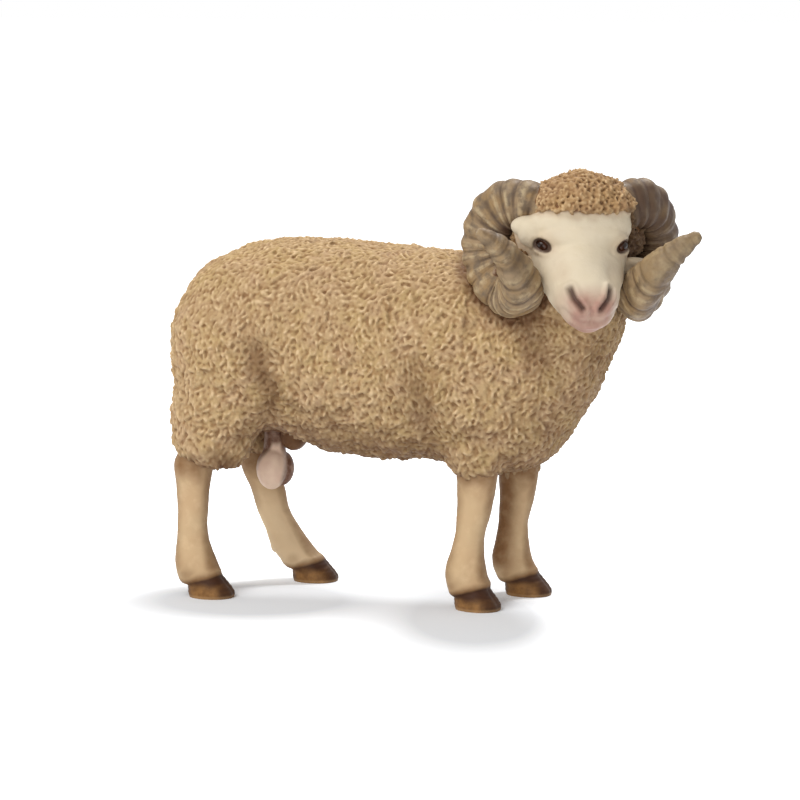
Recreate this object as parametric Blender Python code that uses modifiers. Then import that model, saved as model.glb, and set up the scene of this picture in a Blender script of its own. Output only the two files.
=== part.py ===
"""Standing toy ram, moulded in plastic: a fleeced torso, bare legs, a turned head and two coiled horns.

Lengths are in metres. The ram faces +X, +Y is its left side, +Z is up and the ground is at Z = 0.
Each piece plugs into its neighbour, and the socket is the plugged piece itself, grown by SEAT_GAP.
"""
import math

import bmesh
import bpy
from mathutils import Matrix, Vector

# Fits and working allowances
SEAT_GAP = 0.0003
FLEECE_GRAIN = 0.0013
LEG_GRAIN = 0.00045
HEAD_GRAIN = 0.0006
TORSO_FACETS = 3450
LEG_FACETS = 660
HEAD_FACETS = 1850
SCROTUM_FACETS = 420

# Body
BODY_LENGTH = 0.076
BACK_HEIGHT = 0.065
BODY_WIDTH = 0.035

# Fleece: the main tufts, from the top of one to the crease beside it
TUFT_SPACING = 0.0072
TUFT_DEPTH = 0.0016
CURL_SPACING = 0.0046
CURL_DEPTH = 0.0012

# Legs: the fleece stops at FLEECE_EDGE, and each leg runs on above it into the torso
FLEECE_EDGE = 0.0242
CANNON_DEPTH = 0.0056
CANNON_WIDTH = 0.0048
HOOF_LENGTH = 0.0087
HOOF_WIDTH = 0.0071
HOOF_HEIGHT = 0.0046
CLEFT_WIDTH = 0.0009
DEWCLAW_SIZE = 0.0008

# Head, measured from the middle of the eye line along the face
FACE_LENGTH = 0.0160
HEAD_WIDTH = 0.0164
HEAD_DEPTH = 0.0140
HEAD_TURN = 69.5
HEAD_NOD = 28.0
HEAD_TILT = -1.4
EYE_DIAMETER = 0.0030
NECK_PLUG_DIAMETER = 0.0090

# Horns
COIL_RADIUS = 0.0082
COIL_TIP_RADIUS = 0.0060
COIL_DRIFT = 0.0152
COIL_DRIFT_START = 160.0
COIL_AXIS_TURN = 37.0
HORN_THICKNESS = 0.0084
HORN_SPREAD = 0.0098
HORN_SET_BACK = 0.0045
HORN_DROP = 0.0010
HORN_PLUG_LENGTH = 0.0038
RIDGE_HEIGHT = 0.00028
RIDGE_COUNT = 17

# Ears, tail and scrotum
EAR_LENGTH = 0.0090
EAR_WIDTH = 0.0040
EAR_THICKNESS = 0.0016
TAIL_LENGTH = 0.0190
TAIL_WIDTH = 0.0078
TAIL_THICKNESS = 0.0056
SCROTUM_LENGTH = 0.0105
SCROTUM_WIDTH = 0.0070

# Upper and lower outline points of the torso from rump to neck, with its width and sideways bend:
# upper forward, upper height, lower forward, lower height, width, sideways
torso_shares = (
    (-0.490, 0.770, -0.487, 0.590, 0.46, 0.00),
    (-0.474, 0.855, -0.468, 0.500, 0.70, 0.00),
    (-0.430, 0.925, -0.410, 0.460, 0.86, 0.00),
    (-0.355, 0.970, -0.342, 0.460, 0.96, 0.00),
    (-0.263, 1.000, -0.250, 0.465, 0.99, 0.00),
    (-0.130, 1.000, -0.130, 0.420, 1.00, 0.00),
    (0.000, 0.993, 0.008, 0.400, 1.00, 0.00),
    (0.118, 0.980, 0.132, 0.405, 1.00, 0.00),
    (0.211, 0.975, 0.250, 0.385, 0.97, 0.00),
    (0.280, 0.990, 0.350, 0.380, 0.90, 0.00),
    (0.325, 1.020, 0.415, 0.420, 0.82, 0.00),
    (0.358, 1.055, 0.470, 0.500, 0.75, -0.01),
    (0.385, 1.090, 0.518, 0.590, 0.70, -0.03),
    (0.412, 1.110, 0.560, 0.705, 0.64, -0.05),
    (0.440, 1.110, 0.590, 0.805, 0.58, -0.08),
    (0.485, 1.080, 0.588, 0.890, 0.47, -0.12),
)
torso_squareness = 2.3

# Fleeced upper part of each limb, from its lower edge into the body: height (BACK_HEIGHT), forward
# (BODY_LENGTH), depth, width, distance out from the middle of the body, and how closely it follows
# the leg below it
fore_sleeve_shares = (
    (0.372, 0.255, 0.098, 0.175, 0.47, 0.9),
    (0.392, 0.250, 0.118, 0.205, 0.47, 0.8),
    (0.430, 0.252, 0.152, 0.26, 0.475, 0.6),
    (0.485, 0.255, 0.192, 0.31, 0.48, 0.3),
    (0.560, 0.262, 0.220, 0.34, 0.51, 0.0),
    (0.700, 0.250, 0.270, 0.34, 0.52, 0.0),
    (0.820, 0.250, 0.200, 0.26, 0.46, 0.0),
)
hind_sleeve_shares = (
    (0.372, -0.363, 0.070, 0.17, 0.54, 0.0),
    (0.388, -0.378, 0.118, 0.22, 0.54, 0.0),
    (0.415, -0.392, 0.175, 0.27, 0.54, 0.0),
    (0.460, -0.385, 0.205, 0.31, 0.54, 0.0),
    (0.530, -0.358, 0.257, 0.34, 0.54, 0.0),
    (0.640, -0.325, 0.305, 0.35, 0.53, 0.0),
    (0.760, -0.310, 0.300, 0.32, 0.50, 0.0),
    (0.860, -0.295, 0.220, 0.24, 0.42, 0.0),
)

# Each limb: where its foot stands, how much lower its fleece ends, how far its fleece is set forward
# (BODY_LENGTH), and the line of its bare leg from the plug down to the hoof: height and forward of the
# foot (FLEECE_EDGE), depth and width (the cannon's)
limbs = {
    "right_foreleg": {
        "sleeve": fore_sleeve_shares, "foot_shares": (0.262, -0.235), "drop_share": 0.0,
        "advance_share": 0.0,
        "line_shares": (
            (1.36, -0.01, 1.22, 1.18), (1.16, -0.01, 1.36, 1.26), (1.02, -0.01, 1.34, 1.24),
            (0.84, -0.02, 1.20, 1.14), (0.59, -0.06, 0.96, 1.00), (0.44, -0.08, 1.07, 1.04),
            (0.30, -0.09, 1.29, 1.21), (0.18, -0.07, 1.38, 1.27), (0.10, -0.06, 1.20, 1.12)),
    },
    "left_foreleg": {
        "sleeve": fore_sleeve_shares, "foot_shares": (0.338, 0.214), "drop_share": 0.035,
        "advance_share": 0.0,
        "line_shares": (
            (1.28, -0.075, 1.20, 1.18), (1.07, -0.08, 1.32, 1.25), (0.88, -0.085, 1.28, 1.22),
            (0.74, -0.10, 1.11, 1.10), (0.59, -0.12, 0.98, 1.00), (0.45, -0.13, 1.05, 1.04),
            (0.30, -0.13, 1.25, 1.21), (0.18, -0.10, 1.40, 1.27), (0.10, -0.075, 1.22, 1.12)),
    },
    "right_hind_leg": {
        "sleeve": hind_sleeve_shares, "foot_shares": (-0.393, -0.269), "drop_share": 0.0,
        "advance_share": 0.0,
        "line_shares": (
            (1.36, 0.00, 1.14, 1.12), (1.16, -0.07, 1.32, 1.24), (1.01, -0.13, 1.34, 1.22),
            (0.85, -0.14, 1.13, 1.08), (0.65, -0.15, 0.96, 0.98), (0.43, -0.145, 1.07, 1.02),
            (0.28, -0.12, 1.34, 1.21), (0.18, -0.10, 1.45, 1.27), (0.10, -0.08, 1.25, 1.12)),
    },
    "left_hind_leg": {
        "sleeve": hind_sleeve_shares, "foot_shares": (-0.208, 0.289), "drop_share": 0.045,
        "advance_share": 0.022,
        "line_shares": (
            (1.30, -0.50, 1.26, 1.20), (1.07, -0.485, 1.30, 1.20), (0.87, -0.45, 1.23, 1.17),
            (0.71, -0.39, 1.12, 1.08), (0.54, -0.34, 1.10, 1.00), (0.39, -0.26, 1.20, 1.04),
            (0.27, -0.19, 1.38, 1.21), (0.18, -0.12, 1.45, 1.27), (0.10, -0.08, 1.28, 1.12)),
    },
}

# Where the middle of the eye line sits on the body, and the skull along the face: forward
# (FACE_LENGTH), height of its middle and depth (HEAD_DEPTH), width (HEAD_WIDTH)
eye_line_shares = (0.526, -0.457, 1.024)
skull_shares = (
    (-0.98, 0.04, 0.34, 0.40),
    (-0.86, 0.04, 0.72, 0.78),
    (-0.62, 0.02, 0.98, 0.98),
    (-0.36, -0.06, 1.06, 1.04),
    (-0.10, -0.16, 1.04, 1.04),
    (0.12, -0.24, 0.98, 0.94),
    (0.36, -0.28, 0.86, 0.79),
    (0.60, -0.30, 0.76, 0.71),
    (0.80, -0.30, 0.62, 0.64),
    (0.93, -0.29, 0.47, 0.53),
    (1.00, -0.31, 0.29, 0.32),
)
# Tight wool between the horns, brow, jaw, chin and wool at each temple: forward (FACE_LENGTH), aside,
# height, half depth, half width and half height (HEAD_WIDTH)
poll_shares = (-0.305, 0.0, 0.355, 0.36, 0.59, 0.285)
brow_shares = (-0.16, 0.0, 0.185, 0.285, 0.56, 0.26)
jaw_shares = (0.42, 0.0, -0.33, 0.34, 0.39, 0.20)
chin_shares = (0.79, 0.0, -0.44, 0.15, 0.185, 0.10)
temple_shares = (-0.33, 0.50, -0.09, 0.17, 0.20, 0.25)

# Where the neck plug, the ears, the tail and the scrotum start, forward (BODY_LENGTH or FACE_LENGTH),
# aside (BODY_WIDTH or HEAD_WIDTH) and height (BACK_HEIGHT or HEAD_DEPTH), and how the ears point
neck_plug_shares = (0.40, -0.02, 0.80)
ear_root_shares = (-0.22, 0.44, -0.24)
ear_heading_shares = (0.36, 0.80, -0.16)
tail_root_shares = (-0.488, 0.0, 0.83)
scrotum_root_shares = (-0.279, 0.055, 0.445)

# Horn from its root on the skull to its tip: turn round the coil in degrees and thickness
# (HORN_THICKNESS), the way that the root bends into the skull, and how softly the drift begins
horn_taper_shares = ((-30, 0.76), (0, 0.94), (50, 1.02), (120, 1.0), (180, 0.98), (212, 0.91),
                     (238, 0.80), (258, 0.69), (280, 0.58), (298, 0.46), (307, 0.32), (311, 0.18))
horn_plug_shares = (-0.6, -0.75, -0.33)
drift_softness_share = 0.12


def ring(centre, across, upward, halfAcross, halfUpward, squareness=2.0, count=24):
    """Points of a rounded section: 2 gives an ellipse, and more gives squarer shoulders."""
    points = []
    for step in range(count):
        angle = 2*math.pi*step/count
        c, s = math.cos(angle), math.sin(angle)
        a = math.copysign(abs(c)**(2/squareness), c)*halfAcross
        b = math.copysign(abs(s)**(2/squareness), s)*halfUpward
        points.append(centre + across*a + upward*b)
    return points


def loft(rings):
    """Closed skin over rings with the same number of points, as a mesh of its own."""
    count = len(rings[0])
    points = [p for r in rings for p in r]
    faces = [(k*count + i, k*count + (i + 1) % count, (k + 1)*count + (i + 1) % count, (k + 1)*count + i)
             for k in range(len(rings) - 1) for i in range(count)]
    for k in (0, len(rings) - 1):
        points.append(sum(rings[k], Vector())/count)
        faces += [(k*count + i, k*count + (i + 1) % count, len(points) - 1) for i in range(count)]
    mesh = bpy.data.meshes.new("loft")
    mesh.from_pydata([tuple(p) for p in points], [], faces)
    turnFacesOut(mesh)
    return mesh


def turnFacesOut(mesh):
    bm = bmesh.new()
    bm.from_mesh(mesh)
    bmesh.ops.recalc_face_normals(bm, faces=bm.faces)
    bm.to_mesh(mesh)
    bm.free()


def ball(centre, halfLength, halfWidth, halfHeight, turn=None, grow=0.0):
    """Ellipsoid with its length along X before it is turned."""
    bm = bmesh.new()
    size = Matrix.Diagonal((halfLength + grow, halfWidth + grow, halfHeight + grow, 1))
    matrix = Matrix.Translation(centre) @ (turn or Matrix.Identity(4)) @ size
    bmesh.ops.create_uvsphere(bm, u_segments=20, v_segments=12, radius=1, matrix=matrix)
    mesh = bpy.data.meshes.new("ball")
    bm.to_mesh(mesh)
    bm.free()
    return mesh


def joined(meshes):
    """One mesh holding all of the given ones."""
    bm = bmesh.new()
    for mesh in meshes:
        bm.from_mesh(mesh)
    whole = bpy.data.meshes.new("joined")
    bm.to_mesh(whole)
    bm.free()
    return whole


def applied(mesh, *steps):
    """The mesh after the given modifiers, each written as (type, settings)."""
    helper = bpy.data.objects.new("helper", mesh)
    bpy.context.scene.collection.objects.link(helper)
    for kind, settings in steps:
        modifier = helper.modifiers.new(kind.lower(), kind)
        for key, value in settings.items():
            setattr(modifier, key, value)
    view = bpy.context.evaluated_depsgraph_get()
    result = bpy.data.meshes.new_from_object(helper.evaluated_get(view))
    bpy.data.objects.remove(helper)
    return result


def tuftStep(spacing, depth):
    """The step that swells a skin into rounded tufts of wool with creases between them."""
    cells = bpy.data.textures.new("tufts", "VORONOI")
    cells.noise_scale = spacing
    return ("DISPLACE", {"texture": cells, "texture_coords": "LOCAL", "strength": -depth, "mid_level": 0.5})


def blended(meshes, grain, smoothing, facets, *relief):
    """The given forms grown into one skin, softened where they meet and thinned to the facet count."""
    skin = applied(joined(meshes), ("REMESH", {"mode": "VOXEL", "voxel_size": grain}),
                   ("SMOOTH", {"factor": 0.5, "iterations": smoothing}), *relief)
    skin.calc_loop_triangles()
    ratio = min(1.0, facets/len(skin.loop_triangles))
    return applied(skin, ("DECIMATE", {"ratio": ratio, "use_collapse_triangulate": True}))


def cut(mesh, cutters):
    """The mesh less each of the cutters."""
    for cutter in cutters:
        tool = bpy.data.objects.new("cutter", cutter)
        bpy.context.scene.collection.objects.link(tool)
        mesh = applied(mesh, ("BOOLEAN", {"operation": "DIFFERENCE", "solver": "EXACT", "object": tool}))
        bpy.data.objects.remove(tool)
    return largestShell(mesh)


def largestShell(mesh):
    """The mesh less the crumbs that a cut can leave beside its main body."""
    bm = bmesh.new()
    bm.from_mesh(mesh)
    left = set(bm.verts)
    shells = []
    while left:
        shell, front = set(), [left.pop()]
        while front:
            corner = front.pop()
            shell.add(corner)
            near = {edge.other_vert(corner) for edge in corner.link_edges} & left
            left -= near
            front.extend(near)
        shells.append(shell)
    shells.sort(key=len)
    bmesh.ops.delete(bm, geom=[v for shell in shells[:-1] for v in shell], context="VERTS")
    bm.to_mesh(mesh)
    bm.free()
    return mesh


def levelled(mesh):
    """The mesh cut off flat at the ground, so that it stands on a true sole."""
    bm = bmesh.new()
    bm.from_mesh(mesh)
    geom = bm.verts[:] + bm.edges[:] + bm.faces[:]
    found = bmesh.ops.bisect_plane(bm, geom=geom, plane_co=(0, 0, 0), plane_no=(0, 0, 1), clear_inner=True)
    rim = [e for e in found["geom_cut"] if isinstance(e, bmesh.types.BMEdge)]
    bmesh.ops.holes_fill(bm, edges=rim)
    bmesh.ops.triangulate(bm, faces=bm.faces)
    bm.to_mesh(mesh)
    bm.free()
    return mesh


# Torso

def torsoForm():
    rings = []
    for topX, topZ, lowX, lowZ, width, aside in torso_shares:
        top = Vector((topX*BODY_LENGTH, aside*BODY_WIDTH, topZ*BACK_HEIGHT))
        low = Vector((lowX*BODY_LENGTH, aside*BODY_WIDTH, lowZ*BACK_HEIGHT))
        rings.append(ring((top + low)/2, Vector((0, 1, 0)), (top - low).normalized(), width*BODY_WIDTH/2,
                          (top - low).length/2, torso_squareness))
    return loft(rings)


def sleeveForm(limb):
    """The fleeced upper part of a limb. Its lower edge follows the leg below."""
    side = math.copysign(1, limb["foot_shares"][1])
    rings = []
    for height, forward, depth, width, out, follow in limb["sleeve"]:
        z = (height - limb["drop_share"]*follow)*BACK_HEIGHT
        ahead = (forward + limb["advance_share"])*BODY_LENGTH
        body = Vector((ahead, side*out*BODY_WIDTH/2, z))
        rings.append(ring(body.lerp(legCentre(limb, z), follow), Vector((1, 0, 0)), Vector((0, 1, 0)),
                          depth*BODY_LENGTH/2, width*BODY_WIDTH/2))
    return loft(rings)


# Legs

def footPlace(limb):
    return Vector((limb["foot_shares"][0]*BODY_LENGTH, limb["foot_shares"][1]*BODY_WIDTH, 0))


def legCentre(limb, z):
    """The middle of a leg at a height, read between the points of its line."""
    foot = footPlace(limb)
    line = [(height*FLEECE_EDGE, forward*FLEECE_EDGE) for height, forward, *_ in limb["line_shares"]]
    for (highZ, highX), (lowZ, lowX) in zip(line, line[1:]):
        if lowZ <= z <= highZ:
            return foot + Vector((lowX + (highX - lowX)*(z - lowZ)/(highZ - lowZ), 0, z))
    return foot + Vector((line[0][1] if z > line[0][0] else line[-1][1], 0, z))


def shankForm(limb):
    rings = []
    for height, forward, depth, width in limb["line_shares"]:
        centre = footPlace(limb) + Vector((forward*FLEECE_EDGE, 0, height*FLEECE_EDGE))
        rings.append(ring(centre, Vector((1, 0, 0)), Vector((0, 1, 0)), depth*CANNON_DEPTH/2,
                          width*CANNON_WIDTH/2, 2.2, 18))
    return loft(rings)


def hoofForms(limb):
    """Two claws, webbed at the heel, running below the ground until the sole is levelled."""
    forms = []
    clawWidth = (HOOF_WIDTH - CLEFT_WIDTH)/2
    # height (HOOF_HEIGHT), forward and half length (HOOF_LENGTH), half width (a claw's width)
    claw_shares = ((-0.40, 0.00, 0.48, 0.50), (0.06, 0.00, 0.50, 0.50), (0.30, -0.02, 0.48, 0.49),
                   (0.62, -0.09, 0.41, 0.46), (0.94, -0.15, 0.34, 0.40), (1.14, -0.18, 0.25, 0.28))
    for side in (-1, 1):
        rings = []
        for height, forward, halfLength, halfWidth in claw_shares:
            centre = footPlace(limb) + Vector((forward*HOOF_LENGTH, side*(clawWidth + CLEFT_WIDTH)/2,
                                               height*HOOF_HEIGHT))
            rings.append(ring(centre, Vector((1, 0, 0)), Vector((0, 1, 0)), halfLength*HOOF_LENGTH,
                              halfWidth*clawWidth, 2.4, 18))
        forms.append(loft(rings))
    web = footPlace(limb) + Vector((-0.20*HOOF_LENGTH, 0, 0.30*HOOF_HEIGHT))
    return forms + [ball(web, 0.26*HOOF_LENGTH, CLEFT_WIDTH, 0.80*HOOF_HEIGHT)]


def dewclawForms(limb):
    height, forward, depth, width = limb["line_shares"][6]
    centre = footPlace(limb) + Vector((forward*FLEECE_EDGE - 0.42*depth*CANNON_DEPTH, 0, height*FLEECE_EDGE))
    aside = Vector((0, DEWCLAW_SIZE, 0))
    return [ball(centre + aside*side, DEWCLAW_SIZE, DEWCLAW_SIZE, 1.3*DEWCLAW_SIZE) for side in (-1, 1)]


def legMesh(limb):
    forms = [shankForm(limb)] + hoofForms(limb) + dewclawForms(limb)
    return levelled(blended(forms, LEG_GRAIN, 2, LEG_FACETS))


# Head

def headPlace(nod=HEAD_NOD):
    """From the head's own space (face along +X, its left +Y, crown +Z) to its place on the body."""
    forward, aside, height = eye_line_shares
    middle = Matrix.Translation((forward*BODY_LENGTH, aside*BODY_WIDTH, height*BACK_HEIGHT))
    turn = Matrix.Rotation(math.radians(-HEAD_TURN), 4, "Z")
    return (middle @ turn @ Matrix.Rotation(math.radians(nod), 4, "Y")
            @ Matrix.Rotation(math.radians(HEAD_TILT), 4, "X"))


def skullForm():
    rings = [ring(Vector((forward*FACE_LENGTH, 0, middle*HEAD_DEPTH)), Vector((0, 1, 0)), Vector((0, 0, 1)),
                  width*HEAD_WIDTH/2, depth*HEAD_DEPTH/2, 2.3)
             for forward, middle, depth, width in skull_shares]
    return loft(rings)


def headBall(shares, side=1):
    forward, aside, height, depth, width, tall = shares
    centre = Vector((forward*FACE_LENGTH, side*aside*HEAD_WIDTH, height*HEAD_WIDTH))
    return ball(centre, depth*HEAD_WIDTH, width*HEAD_WIDTH, tall*HEAD_WIDTH)


def woolForm(form):
    """A rounded form of the head in tight curls."""
    grain = ("REMESH", {"mode": "VOXEL", "voxel_size": HEAD_GRAIN})
    return applied(form, grain, tuftStep(CURL_SPACING, CURL_DEPTH))


def eyeForms():
    """Low bulges where the eyes are painted on."""
    half = EYE_DIAMETER/2
    return [ball(Vector((0.03*FACE_LENGTH, side*0.42*HEAD_WIDTH, -0.01*HEAD_DEPTH)), half, half, half)
            for side in (-1, 1)]


def neckPlugForm():
    """Tapered peg from the back of the skull down into the neck."""
    top = headPlace() @ Vector((-0.62*FACE_LENGTH, 0, 0))
    forward, aside, height = neck_plug_shares
    end = Vector((forward*BODY_LENGTH, aside*BODY_WIDTH, height*BACK_HEIGHT))
    along = (end - top).normalized()
    across = along.cross(Vector((0, 0, 1))).normalized()
    rings = [ring(top.lerp(end, share), across, across.cross(along), taper*NECK_PLUG_DIAMETER/2,
                  taper*NECK_PLUG_DIAMETER/2)
             for share, taper in ((0.0, 1.05), (0.5, 1.0), (0.92, 0.9), (1.0, 0.7))]
    return loft(rings)


def headMesh():
    wool = [woolForm(form) for form in (headBall(poll_shares), headBall(temple_shares, -1),
                                        headBall(temple_shares, 1))]
    bare = [skullForm(), headBall(brow_shares), headBall(jaw_shares), headBall(chin_shares)]
    forms = wool + bare + eyeForms()
    for form in forms:
        form.transform(headPlace())
    return blended(forms + [neckPlugForm()], HEAD_GRAIN, 3, HEAD_FACETS)


# Horns

def coilAxis(side):
    lean = math.radians(COIL_AXIS_TURN)
    return Vector((math.sin(lean), side*math.cos(lean), 0))


def hornPoint(turn, side):
    """Middle of the horn at a turn in degrees round its coil: 0 on top, 90 behind, 180 below."""
    angle, lean = math.radians(turn), math.radians(COIL_AXIS_TURN)
    first, last = horn_taper_shares[0][0], horn_taper_shares[-1][0]
    rooted = max(0.0, (-1.5*first - turn)/(-2.5*first))
    inward = Vector((horn_plug_shares[0], side*horn_plug_shares[1], horn_plug_shares[2]))
    late = max(0.0, (turn - COIL_DRIFT_START)/(last - COIL_DRIFT_START))
    soft = drift_softness_share
    drift = COIL_DRIFT*(math.hypot(late, soft) - soft)/(math.hypot(1, soft) - soft)
    radius = COIL_RADIUS + (COIL_TIP_RADIUS - COIL_RADIUS)*late
    backward = Vector((-math.cos(lean), side*math.sin(lean), 0))
    centre = Vector((-HORN_SET_BACK, side*HORN_SPREAD, -HORN_DROP))
    return (centre + backward*(radius*math.sin(angle)) + Vector((0, 0, radius*math.cos(angle)))
            + coilAxis(side)*drift + inward*(HORN_PLUG_LENGTH*rooted**2))


def hornThickness(turn):
    for (low, lowShare), (high, highShare) in zip(horn_taper_shares, horn_taper_shares[1:]):
        if turn <= high:
            return HORN_THICKNESS*(lowShare + (highShare - lowShare)*(turn - low)/(high - low))


def hornMesh(side):
    """A ridged horn, squarer than round, coiled once and drawn outwards to its tip."""
    first, last = horn_taper_shares[0][0], horn_taper_shares[-1][0]
    stepsPerRidge = 3
    steps = RIDGE_COUNT*stepsPerRidge
    near = (last - first)/steps
    rings = []
    for step in range(steps + 1):
        turn = first + (last - first)*step/steps
        ahead, behind = min(turn + near, last), max(turn - near, first)
        along = (hornPoint(ahead, side) - hornPoint(behind, side)).normalized()
        outward = along.cross(coilAxis(side)).normalized()
        half = hornThickness(turn)/2
        if step % stepsPerRidge == 0:
            half += RIDGE_HEIGHT*hornThickness(turn)/HORN_THICKNESS
        rings.append(ring(hornPoint(turn, side), outward, along.cross(outward), half, half, 2.2, 12))
    mesh = loft(rings)
    mesh.transform(headPlace(nod=0.0))
    return mesh


# Ears, tail and scrotum

def earMesh(side):
    """A leaf that leaves the head behind the eye and droops out through the coil of the horn."""
    # along (EAR_LENGTH), width and thickness
    leaf_shares = ((-0.28, 0.40, 0.90), (0.0, 0.55, 1.0), (0.25, 0.90, 1.0), (0.50, 1.0, 0.95),
                   (0.75, 0.78, 0.8), (0.93, 0.40, 0.6), (1.0, 0.15, 0.4))
    forward, aside, height = ear_root_shares
    root = Vector((forward*FACE_LENGTH, side*aside*HEAD_WIDTH, height*HEAD_DEPTH))
    along = Vector((ear_heading_shares[0], side*ear_heading_shares[1], ear_heading_shares[2])).normalized()
    flat = along.cross(Vector((0, 0, 1))).normalized()
    upward = flat.cross(along)
    rings = [ring(root + along*(share*EAR_LENGTH), upward, flat, width*EAR_WIDTH/2,
                  thick*EAR_THICKNESS/2, 2.0, 16)
             for share, width, thick in leaf_shares]
    mesh = loft(rings)
    mesh.transform(headPlace(nod=0.0))
    return mesh


def tailMesh():
    """Short woolly tail lying down the middle of the rump."""
    # down (TAIL_LENGTH), back from the rump (TAIL_THICKNESS), width and thickness
    lie_shares = ((-0.10, -0.55, 0.45, 0.40), (0.0, -0.40, 0.70, 0.70), (0.15, -0.16, 0.92, 0.90),
                  (0.4, 0.00, 1.0, 1.0), (0.7, 0.02, 0.94, 0.95), (0.92, 0.0, 0.66, 0.75),
                  (1.0, -0.02, 0.35, 0.45))
    forward, aside, height = tail_root_shares
    root = Vector((forward*BODY_LENGTH, aside*BODY_WIDTH, height*BACK_HEIGHT))
    rings = [ring(root + Vector((-back*TAIL_THICKNESS, 0, -down*TAIL_LENGTH)), Vector((1, 0, 0)),
                  Vector((0, 1, 0)), thick*TAIL_THICKNESS/2, width*TAIL_WIDTH/2, 2.2, 16)
             for down, back, width, thick in lie_shares]
    return loft(rings)


def scrotumMesh():
    """Two lobes side by side under one neck, which plugs into the belly."""
    # down (SCROTUM_LENGTH) and width of the neck
    neck_shares = ((-0.32, 0.50), (-0.08, 0.52), (0.15, 0.56), (0.38, 0.62), (0.55, 0.60))
    # forward and aside (SCROTUM_WIDTH), down (SCROTUM_LENGTH), half width and half height of each lobe
    lobe_shares = ((-0.04, -0.17, 0.625, 0.40, 0.375), (0.085, 0.225, 0.645, 0.375, 0.325))
    forward, aside, height = scrotum_root_shares
    root = Vector((forward*BODY_LENGTH, aside*BODY_WIDTH, height*BACK_HEIGHT))
    rings = [ring(root + Vector((0, 0, -down*SCROTUM_LENGTH)), Vector((1, 0, 0)), Vector((0, 1, 0)),
                  width*SCROTUM_WIDTH/2, width*SCROTUM_WIDTH/2, 2.0, 16)
             for down, width in neck_shares]
    lobes = [ball(root + Vector((ahead*SCROTUM_WIDTH, out*SCROTUM_WIDTH, -down*SCROTUM_LENGTH)),
                  half*SCROTUM_WIDTH, half*SCROTUM_WIDTH, tall*SCROTUM_LENGTH)
             for ahead, out, down, half, tall in lobe_shares]
    return blended([loft(rings)] + lobes, LEG_GRAIN, 3, SCROTUM_FACETS)


# Assembly

def grown(mesh):
    """A copy swollen by the seat clearance, to cut a socket with."""
    return applied(mesh.copy(), ("DISPLACE", {"strength": SEAT_GAP, "mid_level": 0.0}))


def material(name, colour, roughness):
    shade = bpy.data.materials.new(name)
    shade.use_nodes = True
    shader = shade.node_tree.nodes["Principled BSDF"]
    shader.inputs["Base Color"].default_value = (*colour, 1)
    shader.inputs["Roughness"].default_value = roughness
    return shade


def build():
    for item in list(bpy.data.objects):
        bpy.data.objects.remove(item)

    legs = {name: legMesh(limb) for name, limb in limbs.items()}
    horns = {"right_horn": hornMesh(-1), "left_horn": hornMesh(1)}
    ears = {"right_ear": cut(earMesh(-1), [grown(horns["right_horn"])]),
            "left_ear": cut(earMesh(1), [grown(horns["left_horn"])])}
    hung = {"tail": tailMesh(), "scrotum": scrotumMesh()}

    head = headMesh()
    sleeves = [sleeveForm(limb) for limb in limbs.values()]
    torso = blended([torsoForm()] + sleeves, FLEECE_GRAIN, 4, TORSO_FACETS,
                    tuftStep(TUFT_SPACING, TUFT_DEPTH))
    seated = (head, *horns.values(), *ears.values(), *legs.values(), *hung.values())
    torso = cut(torso, [grown(mesh) for mesh in seated])
    head = cut(head, [grown(mesh) for mesh in (*horns.values(), *ears.values())])
    pieces = {"torso": torso, "head": head, **horns, **ears, **legs, **hung}

    corners = [v.co for mesh in pieces.values() for v in mesh.vertices]
    low = Vector([min(c[axis] for c in corners) for axis in range(3)])
    high = Vector([max(c[axis] for c in corners) for axis in range(3)])
    shift = Vector((-(low.x + high.x)/2, -(low.y + high.y)/2, -low.z))

    figure = bpy.data.collections.new("toy_ram")
    bpy.context.scene.collection.children.link(figure)
    wool, horn, skin = (0.52, 0.37, 0.19), (0.24, 0.18, 0.12), (0.60, 0.42, 0.24)
    colours = {"torso": wool, "head": (0.72, 0.60, 0.44), "right_horn": horn, "left_horn": horn,
               "tail": wool, "scrotum": (0.52, 0.36, 0.28), "right_ear": (0.70, 0.52, 0.38),
               "left_ear": (0.70, 0.52, 0.38)}
    for name, mesh in pieces.items():
        mesh.transform(Matrix.Translation(shift))
        mesh.name = name
        mesh.materials.clear()
        mesh.materials.append(material(name + "_plastic", colours.get(name, skin), 0.6))
        figure.objects.link(bpy.data.objects.new(name, mesh))
    return shift


figureShift = build()
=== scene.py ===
import math

import bmesh
import bpy
import numpy as np
from mathutils import Matrix, Vector, noise
from mathutils.bvhtree import BVHTree


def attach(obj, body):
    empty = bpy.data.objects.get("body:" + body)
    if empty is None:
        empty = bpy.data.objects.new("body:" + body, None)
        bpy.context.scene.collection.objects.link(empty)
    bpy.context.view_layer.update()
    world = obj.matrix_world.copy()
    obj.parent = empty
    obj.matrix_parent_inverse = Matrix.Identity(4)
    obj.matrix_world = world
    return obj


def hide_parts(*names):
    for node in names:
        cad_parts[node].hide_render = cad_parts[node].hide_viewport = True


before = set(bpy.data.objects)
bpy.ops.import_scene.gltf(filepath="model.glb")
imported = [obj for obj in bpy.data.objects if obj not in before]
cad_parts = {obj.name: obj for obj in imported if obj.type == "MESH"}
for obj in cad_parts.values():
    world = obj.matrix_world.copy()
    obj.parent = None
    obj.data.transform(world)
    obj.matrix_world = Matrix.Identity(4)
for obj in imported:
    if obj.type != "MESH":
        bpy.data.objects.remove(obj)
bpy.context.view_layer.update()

# The ram is modelled in millimetres round the middle of its hooves, then set into the frame.
mm = 0.001
stance = Vector((-10.737, 6.74, 0.0))
toFrame = Matrix.Scale(mm, 4) @ Matrix.Translation(stance)
alongX, alongY, alongZ = Vector((1, 0, 0)), Vector((0, 1, 0)), Vector((0, 0, 1))


def linked(name, data):
    thing = bpy.data.objects.new(name, data)
    bpy.context.scene.collection.objects.link(thing)
    return thing


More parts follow.
